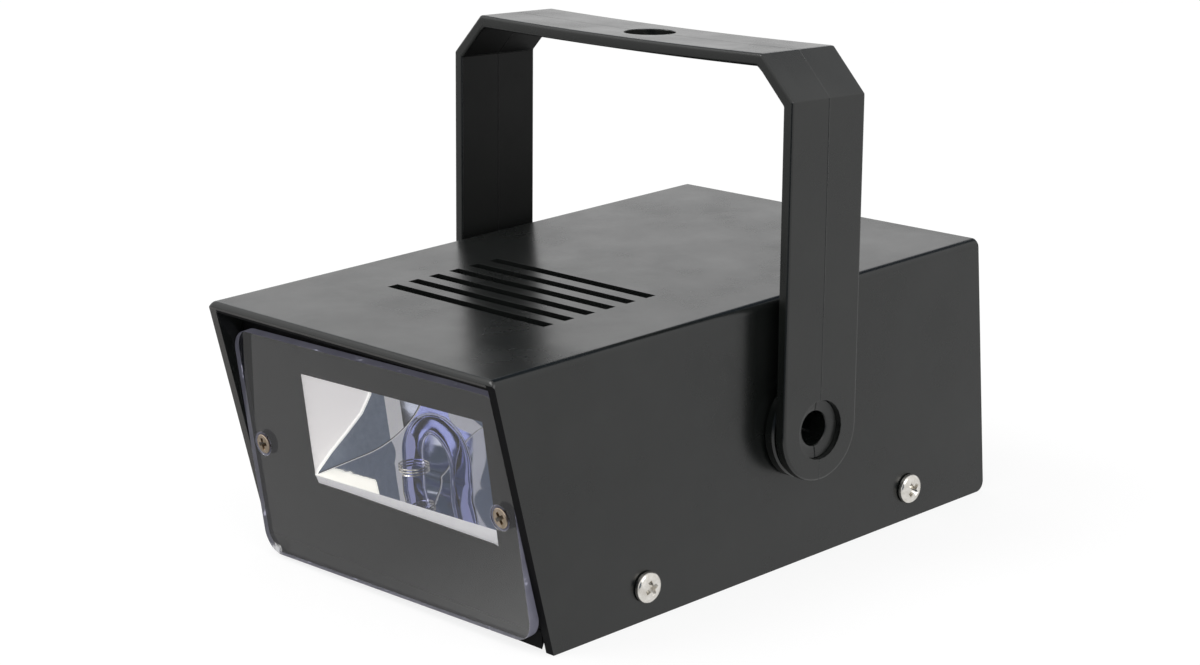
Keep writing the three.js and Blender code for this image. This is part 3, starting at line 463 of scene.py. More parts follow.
# %% [markdown]
# Glass and acrylic only need a tint, an index and faint smears. The acrylic plate has a
# knocked corner, where it is frosted. Its sawn edges are frosted too, and glow with
# painted light for the light that the sheet has caught; a few chips glow brighter as
# painted glints.

# %% Finishes: glass
SMEAR_SCALE = 120
SMEAR_ROUGHNESS = 0.004
SAW_SCALE = 260
CHIP_GLINT_SCALE = 420
SCUFF_SCALE = 900
SCUFF_RADIUS = 1.6 * MM
SCUFF_PLACE = Vector((-35.9, 0, -21.9)) * MM


def clear_glass(name, tint, ior):
    material, body, where = shader(name)
    set_inputs(body, {
        "Transmission Weight": 1.0, "IOR": ior, "Base Color": (*tint, 1),
        "Roughness": spread(noise(where, SMEAR_SCALE, 5.0, 0.6), 0, SMEAR_ROUGHNESS)})
    return material


def add_scuff(material, point, radius):
    """A frosted patch with a ragged edge round a point."""
    body, where = shader_parts(material)
    away = vector_math("DISTANCE", where, point)["Value"]
    ragged = combined("MULTIPLY_ADD", noise(where, SCUFF_SCALE, 3.0), radius * 2, away)
    clearness = spread(ragged, 0.45, 1.0, radius * 1.5, radius * 2)
    set_inputs(body, {"Transmission Weight": clearness})


def sawn_edge_painted_glow():
    material, body, where = shader("sawn_edge_painted_glow")
    marks = noise(where, SAW_SCALE, 4.0)
    colour = blend_colours(spread(marks, 0, 1), (0.085, 0.085, 0.11), (0.115, 0.115, 0.145))
    # The edge glows in its own colour as painted light, and the chips glow brighter as painted glints.
    set_inputs(body, {
        "Base Color": colour, "Emission Color": colour,
        "Emission Strength": spread(noise(where, CHIP_GLINT_SCALE, 3.0), 0.55, 3.0, 0.66, 0.72),
        "Roughness": spread(marks, 0.3, 0.5)})
    return material


clear_plate = clear_glass("clear_plate", WHITE, 1.49)
add_scuff(clear_plate, front_unit @ SCUFF_PLACE, SCUFF_RADIUS)
tube_glass = clear_glass("tube_glass", (0.76, 0.78, 1.0), 1.05)
plate_edge = sawn_edge_painted_glow()
print("glass finishes made")

# %% [markdown]
# The circuit board is green lacquer over woven laminate, with copper tracks that show
# as paler bands. The capacitors wear a shrunk sleeve with a pale stripe along the
# negative side.

# %% Finishes: board and sleeves
TRACK_RISE = 0.05 * MM


def banded(name, direction, scale, edges, dark, light, roughness, rise=0, **wander):
    """A finish with paler bands, which may wander and stand up a little."""
    material, body, where = shader(name)
    bands = add_node(where.id_data, "ShaderNodeTexWave", {"Vector": where, "Scale": scale, **wander},
                     wave_type="BANDS", bands_direction=direction)
    value = spread(bands.outputs["Fac"], 0, 1, *edges)
    set_inputs(body, {"Base Color": blend_colours(value, dark, light), "Roughness": roughness})
    if rise:
        set_inputs(body, {"Normal": bump(value, rise)})
    return material


board_green = banded("board_laminate", "X", 60, (0.45, 0.6), (0.015, 0.09, 0.03), (0.03, 0.16, 0.055), 0.3,
                     TRACK_RISE, Distortion=6, Detail=1)
sleeve = banded("capacitor_sleeve", "Z", 70, (0.9, 0.96), (0.012, 0.013, 0.03), (0.25, 0.26, 0.3), 0.28)
print("board finishes made")

# %% [markdown]
# The solids have dead sharp edges, which nothing moulded or pressed has. A softened
# copy merges each solid's loose triangles, dissolves the flat ones into whole faces
# and rounds the edges by a fraction of a millimetre, so that they catch the light.

# %% Softened copies of solids
SHARP_ANGLE = math.radians(30)
FLAT_ANGLE = math.radians(0.5)
JOIN_GAP = 0.001 * MM
FLAT_FACE_WEIGHT = 100


def merged_copy(node):
    """A bmesh of a solid, with its loose triangles merged and flat faces dissolved."""
    mesh = bmesh.new()
    mesh.from_mesh(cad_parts[node].data)
    bmesh.ops.remove_doubles(mesh, verts=mesh.verts, dist=JOIN_GAP)
    bmesh.ops.dissolve_limit(mesh, angle_limit=FLAT_ANGLE, verts=mesh.verts, edges=mesh.edges)
    return mesh


def round_edges(mesh, width, segments=2, angle=SHARP_ANGLE, chosen=None):
    """Rounds the edges of a bmesh that are sharper than the angle."""
    edges = [edge for edge in mesh.edges if edge.is_manifold and edge.calc_face_angle(0) > angle
             and (chosen is None or chosen(edge))]
    bmesh.ops.bevel(mesh, geom=edges, offset=width, segments=segments, profile=0.5,
                    affect="EDGES", clamp_overlap=True)


def as_object(name, mesh, materials=()):
    data = bpy.data.meshes.new(name)
    mesh.to_mesh(data)
    mesh.free()
    for material in materials:
        data.materials.append(material)
    data.shade_smooth()
    data.set_sharp_from_angle(angle=SHARP_ANGLE)
    return linked_object(name, data)


def piece_from(name, mesh, materials, body, replaced):
    """Turns a bmesh into a finished piece that rides on a body and replaces solids."""
    piece = as_object(name, mesh, materials)
    flat_faces = piece.modifiers.new("flat_faces", "WEIGHTED_NORMAL")
    flat_faces.keep_sharp = True
    flat_faces.weight = FLAT_FACE_WEIGHT
    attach(piece, body)
    if replaced:
        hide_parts(*replaced)


def finish_node(node, mesh, *materials, body="housing"):
    """Lets a finished bmesh take the place of one node."""
    piece_from(node + "_finished", mesh, materials, body, [node])


def softened(node, material, width, body="housing"):
    mesh = merged_copy(node)
    round_edges(mesh, width)
    finish_node(node, mesh, material, body=body)


soft_edges = {
    "rear_panel": (housing_black, 0.25 * MM),
    "cable_gland": (knob_black, 0.3 * MM), "gland_nut": (knob_black, 0.2 * MM),
    "pot_nut": (nickel, 0.2 * MM), "circuit_board": (board_green, 0.1 * MM),
    "tube_socket": (ceramic_white, 0.25 * MM), "trigger_transformer": (resin_black, 0.4 * MM),
    "trigger_capacitor": (resin_red, 1.2 * MM), "power_resistor": (ceramic_white, 0.4 * MM),
    "terminal_block": (terminal_green, 0.25 * MM), "thyristor": (resin_black, 0.2 * MM),
}
for node, (material, width) in soft_edges.items():
    softened(node, material, width)
print("softened pieces:", len(soft_edges))

# %% [markdown]
# The cover's roof ends in a rounded nose over the plate. Its front end is sliced and
# the slices are lowered along a quarter circle, while the other edges are only eased.
# The rim that frames the plate has a pale painted highlight at the top and the left,
# and painted shade, matt black, at the right and along its inner edge. The tray's front
# edge has a small matt lip that closes the slit under the clear plate.

# %% Cover and tray
NOSE_RADIUS = 1.1 * MM
NOSE_ANGLES = [math.radians(angle) for angle in range(12, 84, 12)]
ROOF_THICKNESS = 2 * MM
COVER_EASE = 0.4 * MM
TRAY_EASE = 0.2 * MM
SHADED_RIM_HEIGHT = 0.5 * MM
RIM_SPLIT = 39.25 * MM
LIP_DEPTH = 0.6 * MM
LIP_DROP = 1.5 * MM


def slice_mesh(mesh, axis, places):
    normal = (RIGHT, REAR, UP)[axis]
    for place in places:
        geometry = mesh.verts[:] + mesh.edges[:] + mesh.faces[:]
        bmesh.ops.bisect_plane(mesh, geom=geometry, plane_co=normal * place, plane_no=normal)


def curve_nose(mesh):
    """Curves the front end of the roof down to the upper part of its front rim."""
    foot = cover_high.z - ROOF_THICKNESS
    slice_mesh(mesh, 1, [cover_low.y + NOSE_RADIUS * (1 - math.sin(angle)) for angle in NOSE_ANGLES])
    for vertex in mesh.verts:
        reach = (cover_low.y + NOSE_RADIUS - vertex.co.y) / NOSE_RADIUS
        up = min((vertex.co.z - foot) / ROOF_THICKNESS, 1)
        if reach > 0 and up > 0:
            vertex.co.z -= up * NOSE_RADIUS * (1 - math.sqrt(max(1 - reach ** 2, 0)))


def make_cover():
    mesh = merged_copy("top_cover")
    round_edges(mesh, COVER_EASE)
    curve_nose(mesh)
    shaded_rim_edge = cover_high.z - ROOF_THICKNESS + SHADED_RIM_HEIGHT
    slice_mesh(mesh, 0, [-RIM_SPLIT, RIM_SPLIT])
    slice_mesh(mesh, 2, [shaded_rim_edge])
    mesh.normal_update()
    for face in mesh.faces:
        middle = face.calc_center_median()
        # Front faces of the rim: painted shade at the right and along the inner edge, a painted highlight
        # elsewhere.
        if face.normal.y < -0.5 and face.normal.z < 0.1 and middle.y < plate_high.y:
            inner = abs(middle.x) < RIM_SPLIT and middle.z < shaded_rim_edge
            face.material_index = 1 if middle.x > RIM_SPLIT or inner else 2
    finish_node("top_cover", mesh, housing_black, panel_black, rim_painted_light)


def make_tray():
    mesh = merged_copy("base_tray")
    tray_low, _ = box_of("base_tray")
    slice_mesh(mesh, 1, [tray_low.y + LIP_DEPTH])
    for vertex in mesh.verts:
        if vertex.co.y < tray_low.y + LIP_DEPTH / 2 and vertex.co.z < tray_low.z + 0.01 * MM:
            vertex.co.z -= LIP_DROP
    round_edges(mesh, TRAY_EASE)
    for face in mesh.faces:
        if face.calc_center_median().y < tray_low.y + LIP_DEPTH:
            face.material_index = 1
    finish_node("base_tray", mesh, housing_black, panel_black)


make_cover()
make_tray()
print("cover and tray made")

# %% [markdown]
# Each pivot bush is turned: a barrel through the wall, a spacer disc between the wall
# and the leg, and a nipple in the leg. A thin dished lip covers the floor of the leg's
# recess, so that from outside the recess runs smoothly into the dark bore.

# %% Pivot bushes
BUSH_BORE = 3.27 * MM
BUSH_BARREL = 4.6 * MM
BUSH_NIPPLE = 4.3 * MM
BUSH_EASE = 0.35 * MM
BUSH_SIDES = 64
WALL_GAP = 0.3 * MM
LEG_FLOOR = 1.35 * MM
LIP_RADIUS = 5.4 * MM
LIP_RAISE = 0.04 * MM
LIP_DISH = [(5.4, 0.32), (4.9, 0.22), (4.2, 0.12), (3.7, 0.04), (3.4, -0.1), (3.27, -0.3)]
UP_TO_RIGHT = Matrix(((0, 0, 1, 0), (1, 0, 0, 0), (0, 1, 0, 0), (0, 0, 0, 1)))


def turned(profile, sides, closed=False):
    """A solid turned about Z from [radius, height] points, axis to axis or round a loop."""
    mesh = bmesh.new()
    rings = []
    for radius, height in profile:
        turns = [2 * math.pi * i / sides for i in range(sides if radius else 1)]
        rings.append([mesh.verts.new((radius * math.cos(turn), radius * math.sin(turn), height))
                      for turn in turns])
    for low, high in zip(rings, rings[1:] + (rings[:1] if closed else [])):
        for i in range(sides):
            j = i + 1
            face = [low[i % len(low)], low[j % len(low)], high[j % len(high)], high[i % len(high)]]
            mesh.faces.new(list(dict.fromkeys(face)))
    bmesh.ops.recalc_face_normals(mesh, faces=mesh.faces)
    return mesh


def make_bush(side, hand):
    tip, disc = bush_high.x, (bush_high.z - bush_low.z) / 2
    wall_face, leg_face = cover_high.x + WALL_GAP, tip - LEG_FLOOR
    profile = [(BUSH_BORE, bush_low.x), (BUSH_BARREL, bush_low.x), (BUSH_BARREL, wall_face),
               (disc - BUSH_EASE, wall_face), (disc, wall_face + BUSH_EASE),
               (disc, leg_face - BUSH_EASE), (disc - BUSH_EASE, leg_face), (BUSH_NIPPLE, leg_face),
               (BUSH_NIPPLE, tip + LIP_RAISE), (LIP_RADIUS, tip + LIP_RAISE)]
    profile += [(radius * MM, tip + rise * MM) for radius, rise in LIP_DISH]
    mesh = turned([(radius, place * hand) for radius, place in profile], BUSH_SIDES, closed=True)
    mesh.transform(Matrix.Translation(pivot) @ UP_TO_RIGHT)
    finish_node(f"pivot_bush_{side}", mesh, bracket_black)


make_bush("right", 1)
make_bush("left", -1)
print("pivot bushes made")

# %% [markdown]
# Small inner pieces keep their solids and only take a finish.

# %% Finishes of the solids that stay
plain_nodes = {
    "pivot_clip_left": nickel, "pivot_clip_right": nickel, "pot_shaft": plain_steel, "pot_body": plain_steel,
    "capacitor_1": sleeve, "capacitor_2": sleeve, "fuse": tube_glass,
    "fuse_clip_front": plain_steel, "fuse_clip_rear": plain_steel,
}
for number in range(1, 5):
    plain_nodes[f"board_screw_{number}"] = nickel
    plain_nodes[f"diode_{number}"] = resin_black
for number in range(1, 4):
    plain_nodes[f"pot_lead_{number}"] = resin_red
for node, material in plain_nodes.items():
    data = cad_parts[node].data
    data.materials.clear()
    data.materials.append(material)
print("solids that keep their shape:", len(plain_nodes))

# %% [markdown]
# The bracket is one strip of plastic bent to a U. Its bar sags by less than half a
# millimetre in the middle and its legs stand a little wider at the pivots than at the
# top, as a sprung strip does. The bar is sliced first, so that it can bend. The inner
# faces of the legs and the undersides of the bar and its bent corners take a darker,
# duller copy of the finish: painted shade.

# %% Bracket
BAR_SAG = 0.45 * MM
BAR_SLICES = 12
LEG_SPLAY = 0.45 * MM
SPLAY_MIDDLE = 0.45
BRACKET_REACH = 69.9 * MM
BAR_HALF = 38.8 * MM
STRIP_HALF = 9.75 * MM
SIDE_NEAR = 0.02 * MM
END_NEAR = 0.1 * MM
RIM_RADIUS = 0.6 * MM
RIM_ANGLE = math.radians(60)
CREASE_RADIUS = 0.2 * MM
CREASE_ANGLE = math.radians(35)
CORNER_HEIGHT = 12 * MM


def on_rim(edge):
    """True on the long edges of the strip and round the ends of its legs."""
    return all(abs(vertex.co.y) > STRIP_HALF - SIDE_NEAR
               or (vertex.co.z < 0 and vertex.co.yz.length > STRIP_HALF - END_NEAR)
               for vertex in edge.verts)


def make_bracket():
    mesh = merged_copy("bracket")
    mesh.transform(bracket_unit.inverted())
    round_edges(mesh, RIM_RADIUS, 4, RIM_ANGLE, on_rim)
    round_edges(mesh, CREASE_RADIUS, 2, CREASE_ANGLE)
    slice_mesh(mesh, 0, [BAR_HALF * (2 * i / BAR_SLICES - 1) for i in range(BAR_SLICES + 1)])
    for vertex in mesh.verts:
        place = vertex.co
        across = min(abs(place.x) / BAR_HALF, 1)
        if place.z > BRACKET_REACH / 2:
            place.z -= BAR_SAG * (1 - across ** 2)
        if across == 1:
            up = max(place.z, 0) / BRACKET_REACH
            place.x += math.copysign(LEG_SPLAY * (SPLAY_MIDDLE - up), place.x)
    mesh.normal_update()
    for face in mesh.faces:
        middle = face.calc_center_median()
        # Inner faces of the legs and undersides near the top take the shaded copy: painted shade.
        inward = face.normal.x * math.copysign(1, -middle.x) > 0.9
        under = face.normal.z < -0.6 and middle.z > BRACKET_REACH - CORNER_HEIGHT
        face.material_index = int(inward or under)
    mesh.transform(bracket_unit)
    finish_node("bracket", mesh, bracket_black, bracket_shaded, body="bracket")


make_bracket()
print("bracket made")

# %% [markdown]
# The clear plate is a sheet of acrylic, so its faces are glass and its sawn edges are
# frosted and violet. It is taken from the solid, squeezed by a hair so that it clears
# the side walls, and set into the twisted unit. Its faces are told apart by where
# they look, and each kind gets its own material slot.

# %% Clear plate
PLATE_SQUEEZE = 0.998
PLATE_EASE = 0.2 * MM


def make_plate():
    mesh = merged_copy("lens_plate")
    mesh.transform(Matrix.Scale(PLATE_SQUEEZE, 4, RIGHT) @ straight_unit.inverted())
    round_edges(mesh, PLATE_EASE)
    for face in mesh.faces:
        if abs(face.normal.y) < 0.7:
            face.material_index = 1
    mesh.transform(front_unit)
    finish_node("lens_plate", mesh, clear_plate, plate_edge)


make_plate()
print("clear plate made")

# %% [markdown]
# The dark panel behind the plate carries the window, the screw bosses and the pins.
# These turn with the front unit, while its outer border and its two side arms stay
# square in the housing. The moves stay within the panel's plane, so it stays flat. The
# window is cut at a slant and widens to the rear, so only its sharp front edge shows.
# Its corners are a little off square, each by its own amount.

# %% Front panel
WINDOW_LEFT = -21.3 * MM
WINDOW_RIGHT = 31.2 * MM
WINDOW_LOW = -5.8 * MM
WINDOW_HIGH = 16.9 * MM
WINDOW_FLARE = 1.4 * MM
WINDOW_REAR = 3 * MM
WINDOW_NEAR = 0.1 * MM
WINDOW_SHIFTS = {(-1, -1): (0.4, 0.58), (1, -1): (0.52, -0.49), (-1, 1): (0.87, -0.37), (1, 1): (0.68, 0.03)}
TURNED_HALF = 37.5 * MM
TURNED_LOW = -12 * MM
TURNED_HIGH = 20 * MM
TURNED_DEPTH = 12 * MM
PANEL_EASE = 0.12 * MM


def window_shift(place):
    """How far a corner of the window's opening moves: off square, and wider at its rear."""
    side, level = math.copysign(1, place.x), math.copysign(1, place.z)
    if (min(abs(place.x - WINDOW_LEFT), abs(place.x - WINDOW_RIGHT)) > WINDOW_NEAR
            or min(abs(place.z - WINDOW_LOW), abs(place.z - WINDOW_HIGH)) > WINDOW_NEAR):
        return ORIGIN
    across, up = WINDOW_SHIFTS[(side, level)]
    flare = WINDOW_FLARE if place.y > WINDOW_REAR else 0
    return Vector((across * MM + side * flare, 0, up * MM + level * flare))


def make_panel():
    mesh = merged_copy("front_panel")
    mesh.transform(straight_unit.inverted())
    for vertex in mesh.verts:
        x, y, z = vertex.co
        if abs(x) < TURNED_HALF and TURNED_LOW < z < TURNED_HIGH and y < TURNED_DEPTH:
            vertex.co = Matrix.Rotation(FRONT_TWIST, 4, "Y") @ (vertex.co + window_shift(vertex.co))
    round_edges(mesh, PANEL_EASE)
    mesh.transform(straight_unit)
    finish_node("front_panel", mesh, panel_black)


make_panel()
print("front panel made")

# %% [markdown]
# The trough is a bent mirror sheet: a flat floor and roof, a back that is half an
# ellipse, and two end walls. Its outline is a formula, swept across the window. The
# floor has a dull, pale patch near its left front corner, where the plating is hazy and
# a warm glow paints a highlight.

# %% The trough's outline and its haze
TROUGH_FRONT = 2.75 * MM
TROUGH_CENTRE = 14.6 * MM
TROUGH_BACK = 16.6 * MM
TROUGH_LOW = WINDOW_LOW + 2.1 * MM
TROUGH_HIGH = WINDOW_HIGH + 0.3 * MM
TROUGH_LEFT = WINDOW_LEFT + 0.25 * MM
TROUGH_RIGHT = WINDOW_RIGHT + 0.9 * MM
TROUGH_STEPS = 64
TROUGH_TURN = math.radians(-0.5)
PATCH_EDGE_SCALE = 500
PATCH_EDGE = 2.5 * MM
PATCH_DEPTH = (7.6 * MM, 9.0 * MM)
PATCH_SIDE = (1.1 * MM, 1.5 * MM)
PATCH_RISE = (TROUGH_LOW + 0.2 * MM, TROUGH_LOW + 0.5 * MM)
PATCH_OUTWARD = Vector((0.52, 0.78, 0))
HAZE_COLOUR = (0.95, 0.93, 0.86)
HAZE_PAINTED_HIGHLIGHT = (1, 0.98, 0.9, 1)
trough_unit = front_unit @ Matrix.Rotation(TROUGH_TURN, 4, "Y")


def trough_outline():
    middle = (TROUGH_HIGH + TROUGH_LOW) / 2
    half = (TROUGH_HIGH - TROUGH_LOW) / 2
    points = [(TROUGH_FRONT, TROUGH_LOW)]
    for step in range(TROUGH_STEPS + 1):
        angle = math.pi * (step / TROUGH_STEPS - 0.5)
        points.append((TROUGH_CENTRE + TROUGH_BACK * math.cos(angle), middle + half * math.sin(angle)))
    points.append((TROUGH_FRONT, TROUGH_HIGH))
    return points


def add_haze_and_painted_highlight(material):
    body, where = shader_parts(material)
    axes, middle = trough_unit.to_3x3(), trough_unit.translation
    depth = along(where, axes.col[1], middle)
    ragged = combined("MULTIPLY_ADD", noise(where, PATCH_EDGE_SCALE, 4.0), PATCH_EDGE, depth)
    haze = product(ramp(ragged, *PATCH_DEPTH, 1, 0),
                   ramp(along(where, axes @ PATCH_OUTWARD, middle), *PATCH_SIDE, 1, 0),
                   ramp(along(where, axes.col[2], middle), *PATCH_RISE, 1, 0))
    clean, smooth = (body.inputs[name].links[0].from_socket for name in ("Base Color", "Roughness"))
    # The patch is rougher, paler and less metallic, and its emission paints a warm highlight.
    set_inputs(body, {
        "Base Color": blend_colours(haze, clean, HAZE_COLOUR),
        "Metallic": ramp(haze, 0, 1, 1, 0.1),
        "Roughness": combined("MAXIMUM", ramp(haze, 0, 1, 0.03, 0.5), smooth),
        "Emission Color": HAZE_PAINTED_HIGHLIGHT,
        "Emission Strength": ramp(haze, 0, 1, 0, 0.75)})


add_haze_and_painted_highlight(mirror)
print("trough outline points:", len(trough_outline()))

# %% [markdown]
# The left end wall is split along two lines, and only its rear part is a mirror: the
# part between the lines glows pale, painted light, and the front part glows dark blue, a
# painted reflection. The right end wall is dark metal, painted shade. The front edges of
# the floor and the roof are bent out to flanges that glow pale with painted light. The
# sheet gets its thickness from a Solidify modifier, and its cut edges are satin. It sits
# half a degree crooked against the window, as its pale flange shows.

# %% Mirrored trough
TROUGH_WALL = 0.6 * MM
TROUGH_FLANGE = 3.2 * MM
FLANGE_CUT = 1.4 * MM
END_FOLDS = (21.0 * MM, 24.5 * MM)


def add_flange(mesh, start, end, side):
    """Bends a strip out along the edge from start to end, with its left corner cut off."""
    outer = [mesh.verts.new(vertex.co + UP * side * TROUGH_FLANGE) for vertex in (start, end)]
    outer[0].co.x += FLANGE_CUT
    return mesh.faces.new((start, end, outer[1], outer[0]))


def make_trough():
    mesh = bmesh.new()
    outline = trough_outline()
    left, right = ([mesh.verts.new((place, d, w)) for d, w in outline]
                   for place in (TROUGH_LEFT, TROUGH_RIGHT))
    for i in range(len(outline) - 1):
        mesh.faces.new((left[i], left[i + 1], right[i + 1], right[i]))
    end = mesh.faces.new(left)
    for place in END_FOLDS:
        geometry = [end] + list(end.edges) + list(end.verts)
        made = bmesh.ops.bisect_plane(mesh, geom=geometry, plane_co=REAR * place, plane_no=REAR)
        end = max((item for item in made["geom"] if isinstance(item, bmesh.types.BMFace)),
                  key=lambda face: face.calc_center_median().y)
    # The right end wall is dark metal: painted shade, which the mirror shows dark.
    dark_end = mesh.faces.new(list(reversed(right)))
    flanges = [add_flange(mesh, left[0], right[0], -1), add_flange(mesh, left[-1], right[-1], 1)]
    bmesh.ops.recalc_face_normals(mesh, faces=mesh.faces)
    # The left end wall's front part glows dark blue, a painted reflection; the part between the lines glows
    # pale, painted light.
    for face in mesh.faces:
        middle = face.calc_center_median()
        if middle.x < TROUGH_LEFT + 0.01 * MM and middle.y < END_FOLDS[1]:
            face.material_index = 3 if middle.y < END_FOLDS[0] else 4
    dark_end.material_index = 2
    # The flanges glow pale with painted light.
    for flange in flanges:
        flange.material_index = 4
    mesh.transform(trough_unit)
    materials = [mirror, satin_sheet, dark_sheet, brushed_end_painted_reflection, pale_strip_painted_glow]
    sheet = as_object("reflector_finished", mesh, materials)
    thicken = sheet.modifiers.new("thickness", "SOLIDIFY")
    thicken.thickness = TROUGH_WALL
    thicken.offset = 1
    thicken.use_even_offset = True
    thicken.material_offset_rim = 1
    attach(sheet, "housing")
    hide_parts("reflector")


make_trough()
print("trough made, depth", round((TROUGH_CENTRE + TROUGH_BACK - TROUGH_FRONT) / MM, 1), "mm")

# %% [markdown]
# A corner tab is folded in at the left. It is frosted, and an even pale glow paints the
# tent's light on it; its free edge is rolled and glows as a painted bright line. Thin dark
# and pale wires run in the joints between the sheet and its end walls, as a folded seam
# does; the pale ones glow with painted light.

# %% Tab and seams of the trough
TAB_FOLD = math.radians(30)
TAB_EDGE = [(2.75, -3.7), (3.2, -2.9), (5.8, 0.3), (8.7, 3.4), (11.6, 6.7), (13.4, 10.0), (14.4, 13.5),
            (14.8, 17.0)]
TAB_BACK = 0.2 * MM
TAB_ROLL = 0.28 * MM
SEAMS = ((0, 0.2 * MM), (0.16 * MM, 0.11 * MM))


def evaluated_mesh(item, name):
    bpy.context.view_layer.update()
    data = bpy.data.meshes.new_from_object(item.evaluated_get(bpy.context.evaluated_depsgraph_get()))
    data.name = name
    return data


def wire_mesh(points, radius, resolution=8):
    """A round wire or rod along a line of points."""
    curve = bpy.data.curves.new("wire_line", "CURVE")
    curve.dimensions = "3D"
    curve.bevel_depth = radius
    curve.bevel_resolution = resolution
    curve.use_fill_caps = True
    line = curve.splines.new("POLY")
    line.points.add(len(points) - 1)
    for point, place in zip(line.points, points):
        point.co = (*place, 1)
    holder = linked_object("wire_line", curve)
    data = evaluated_mesh(holder, "wire_mesh")
    bpy.data.objects.remove(holder)
    return data


def tab_line():
    """The free edge of the tab, from the corner of the flange up to the roof."""
    slope = math.tan(TAB_FOLD)
    return [(TROUGH_LEFT + (d * MM - TROUGH_FRONT) * slope, d * MM, w * MM) for d, w in TAB_EDGE]


def make_tab_and_seams():
    mesh = bmesh.new()
    counts = []
    for inset, radius in SEAMS:
        for place in (TROUGH_LEFT + inset, TROUGH_RIGHT - inset):
            mesh.from_mesh(wire_mesh([(place, d, w) for d, w in trough_outline()], radius, 2))
        counts.append(len(mesh.faces))
    mesh.from_mesh(wire_mesh(tab_line(), TAB_ROLL, 3))
    counts.append(len(mesh.faces))
    tab = tab_line() + [(TROUGH_LEFT, TROUGH_FRONT, TAB_EDGE[-1][1] * MM)]
    front = mesh.faces.new([mesh.verts.new(point) for point in tab])
    back = mesh.faces.new([mesh.verts.new((x - TAB_BACK, d + TAB_BACK, w)) for x, d, w in reversed(tab)])
    # The pale seam wires, the rolled edge and the tab's front glow with painted light.
    for i, face in enumerate(mesh.faces):
        face.material_index = sum(i >= count for count in counts)
    front.material_index = 3
    back.material_index = 0
    mesh.transform(trough_unit)
    piece_from("reflector_tab", mesh, [dark_sheet, pale_strip_painted_glow, bright_fold_painted_highlight, frosted_sheet_painted_glow], "housing", [])


make_tab_and_seams()
print("tab made, edge points:", len(TAB_EDGE))

# %% [markdown]
# The flash tube is a bent glass tube with a thin wall. A curve with a round bevel
# follows the legs and the bend. It is turned into a mesh twice: once for the outside
# and once, with its faces turned over, for the bore, which keeps the glass faint. The
# trigger collar is wound from thin wire, so that it hides little of the mirror.

# %% Flash tube
tube_low, tube_high = box_of("flash_tube")
TUBE_RADIUS = (tube_high.y - tube_low.y) / 2
TUBE_STEPS = 24
TUBE_WALL = 0.5 * MM
TUBE_BEND_START = 2 * MM
COLLAR_WIRE = 0.16 * MM
COLLAR_TURNS = 3
COLLAR_HEIGHT = 1.6 * MM


def tube_skin(radius, spare):
    """A closed skin along the tube, its faces looking out."""
    half = (tube_high.x - tube_low.x) / 2 - TUBE_RADIUS
    middle = (tube_low + tube_high) / 2
    bend = tube_high.z - TUBE_RADIUS - half
    foot = tube_low.z + spare
    points = [(-half, foot), (-half, bend - TUBE_BEND_START)]
    for step in range(TUBE_STEPS + 1):
        angle = math.pi * (1 - step / TUBE_STEPS)
        points.append((math.cos(angle) * half, bend + math.sin(angle) * half))
    points += [(half, bend - TUBE_BEND_START), (half, foot)]
    skin = bmesh.new()
    skin.from_mesh(wire_mesh([(middle.x + x, middle.y, z) for x, z in points], radius))
    bmesh.ops.recalc_face_normals(skin, faces=skin.faces)
    return skin


def make_tube():
    mesh = tube_skin(TUBE_RADIUS, 0)
    bore = tube_skin(TUBE_RADIUS - TUBE_WALL, TUBE_WALL)
    bmesh.ops.reverse_faces(bore, faces=bore.faces)
    inner = bpy.data.meshes.new("tube_bore")
    bore.to_mesh(inner)
    bore.free()
    mesh.from_mesh(inner)
    finish_node("flash_tube", mesh, tube_glass)


def make_collar():
    """A few turns of bright wire round one leg of the tube, and the lead down to the socket."""
    low, high = box_of("trigger_collar")
    middle = (low + high) / 2
    reach = (high.x - low.x) / 2 - COLLAR_WIRE
    steps = COLLAR_TURNS * TUBE_STEPS
    points = [(middle.x, middle.y - reach, low.z)]
    for step in range(steps + 1):
        angle = 2 * math.pi * step / TUBE_STEPS - math.pi / 2
        rise = high.z - COLLAR_WIRE - COLLAR_HEIGHT * (1 - step / steps)
        points.append((middle.x + reach * math.cos(angle), middle.y + reach * math.sin(angle), rise))
    mesh = bmesh.new()
    mesh.from_mesh(wire_mesh(points, COLLAR_WIRE, 3))
    finish_node("trigger_collar", mesh, nickel)


make_tube()
make_collar()
print("flash tube and its trigger wire made")

# %% [markdown]
# Cross-head screws repeat on both sides. One screw head is modelled as a template: a
# turned profile with a cross recess cut into it, wide at the face and narrow below.

# %% Screw templates
HEAD_SIDES = 48
RECESS_FLOOR = 0.45
RECESS_OPENING = 1.3
RECESS_LIFT = 0.6
RECESS_GAP = 0.002 * MM


def cross_cutter(length, width, depth):
    """Two crossed wedges: wide at the head's face, narrow at the floor of the recess."""
    mesh = bmesh.new()
    for turn in (0, math.pi / 2):
        spin = Matrix.Rotation(turn, 4, "Z")
        made = []
        for height, share in ((-depth, RECESS_FLOOR), (depth * RECESS_LIFT, RECESS_OPENING)):
            for x, y in SQUARE:
                corner = Vector((x * length / 2 * share, y * width / 2 * (share + 1) / 2, height))
                made.append(mesh.verts.new(spin @ corner))
        mesh.faces.new(made[3::-1])
        mesh.faces.new(made[4:])
        for i in range(4):
            j = (i + 1) % 4
            mesh.faces.new((made[i], made[j], made[4 + j], made[4 + i]))
    return mesh


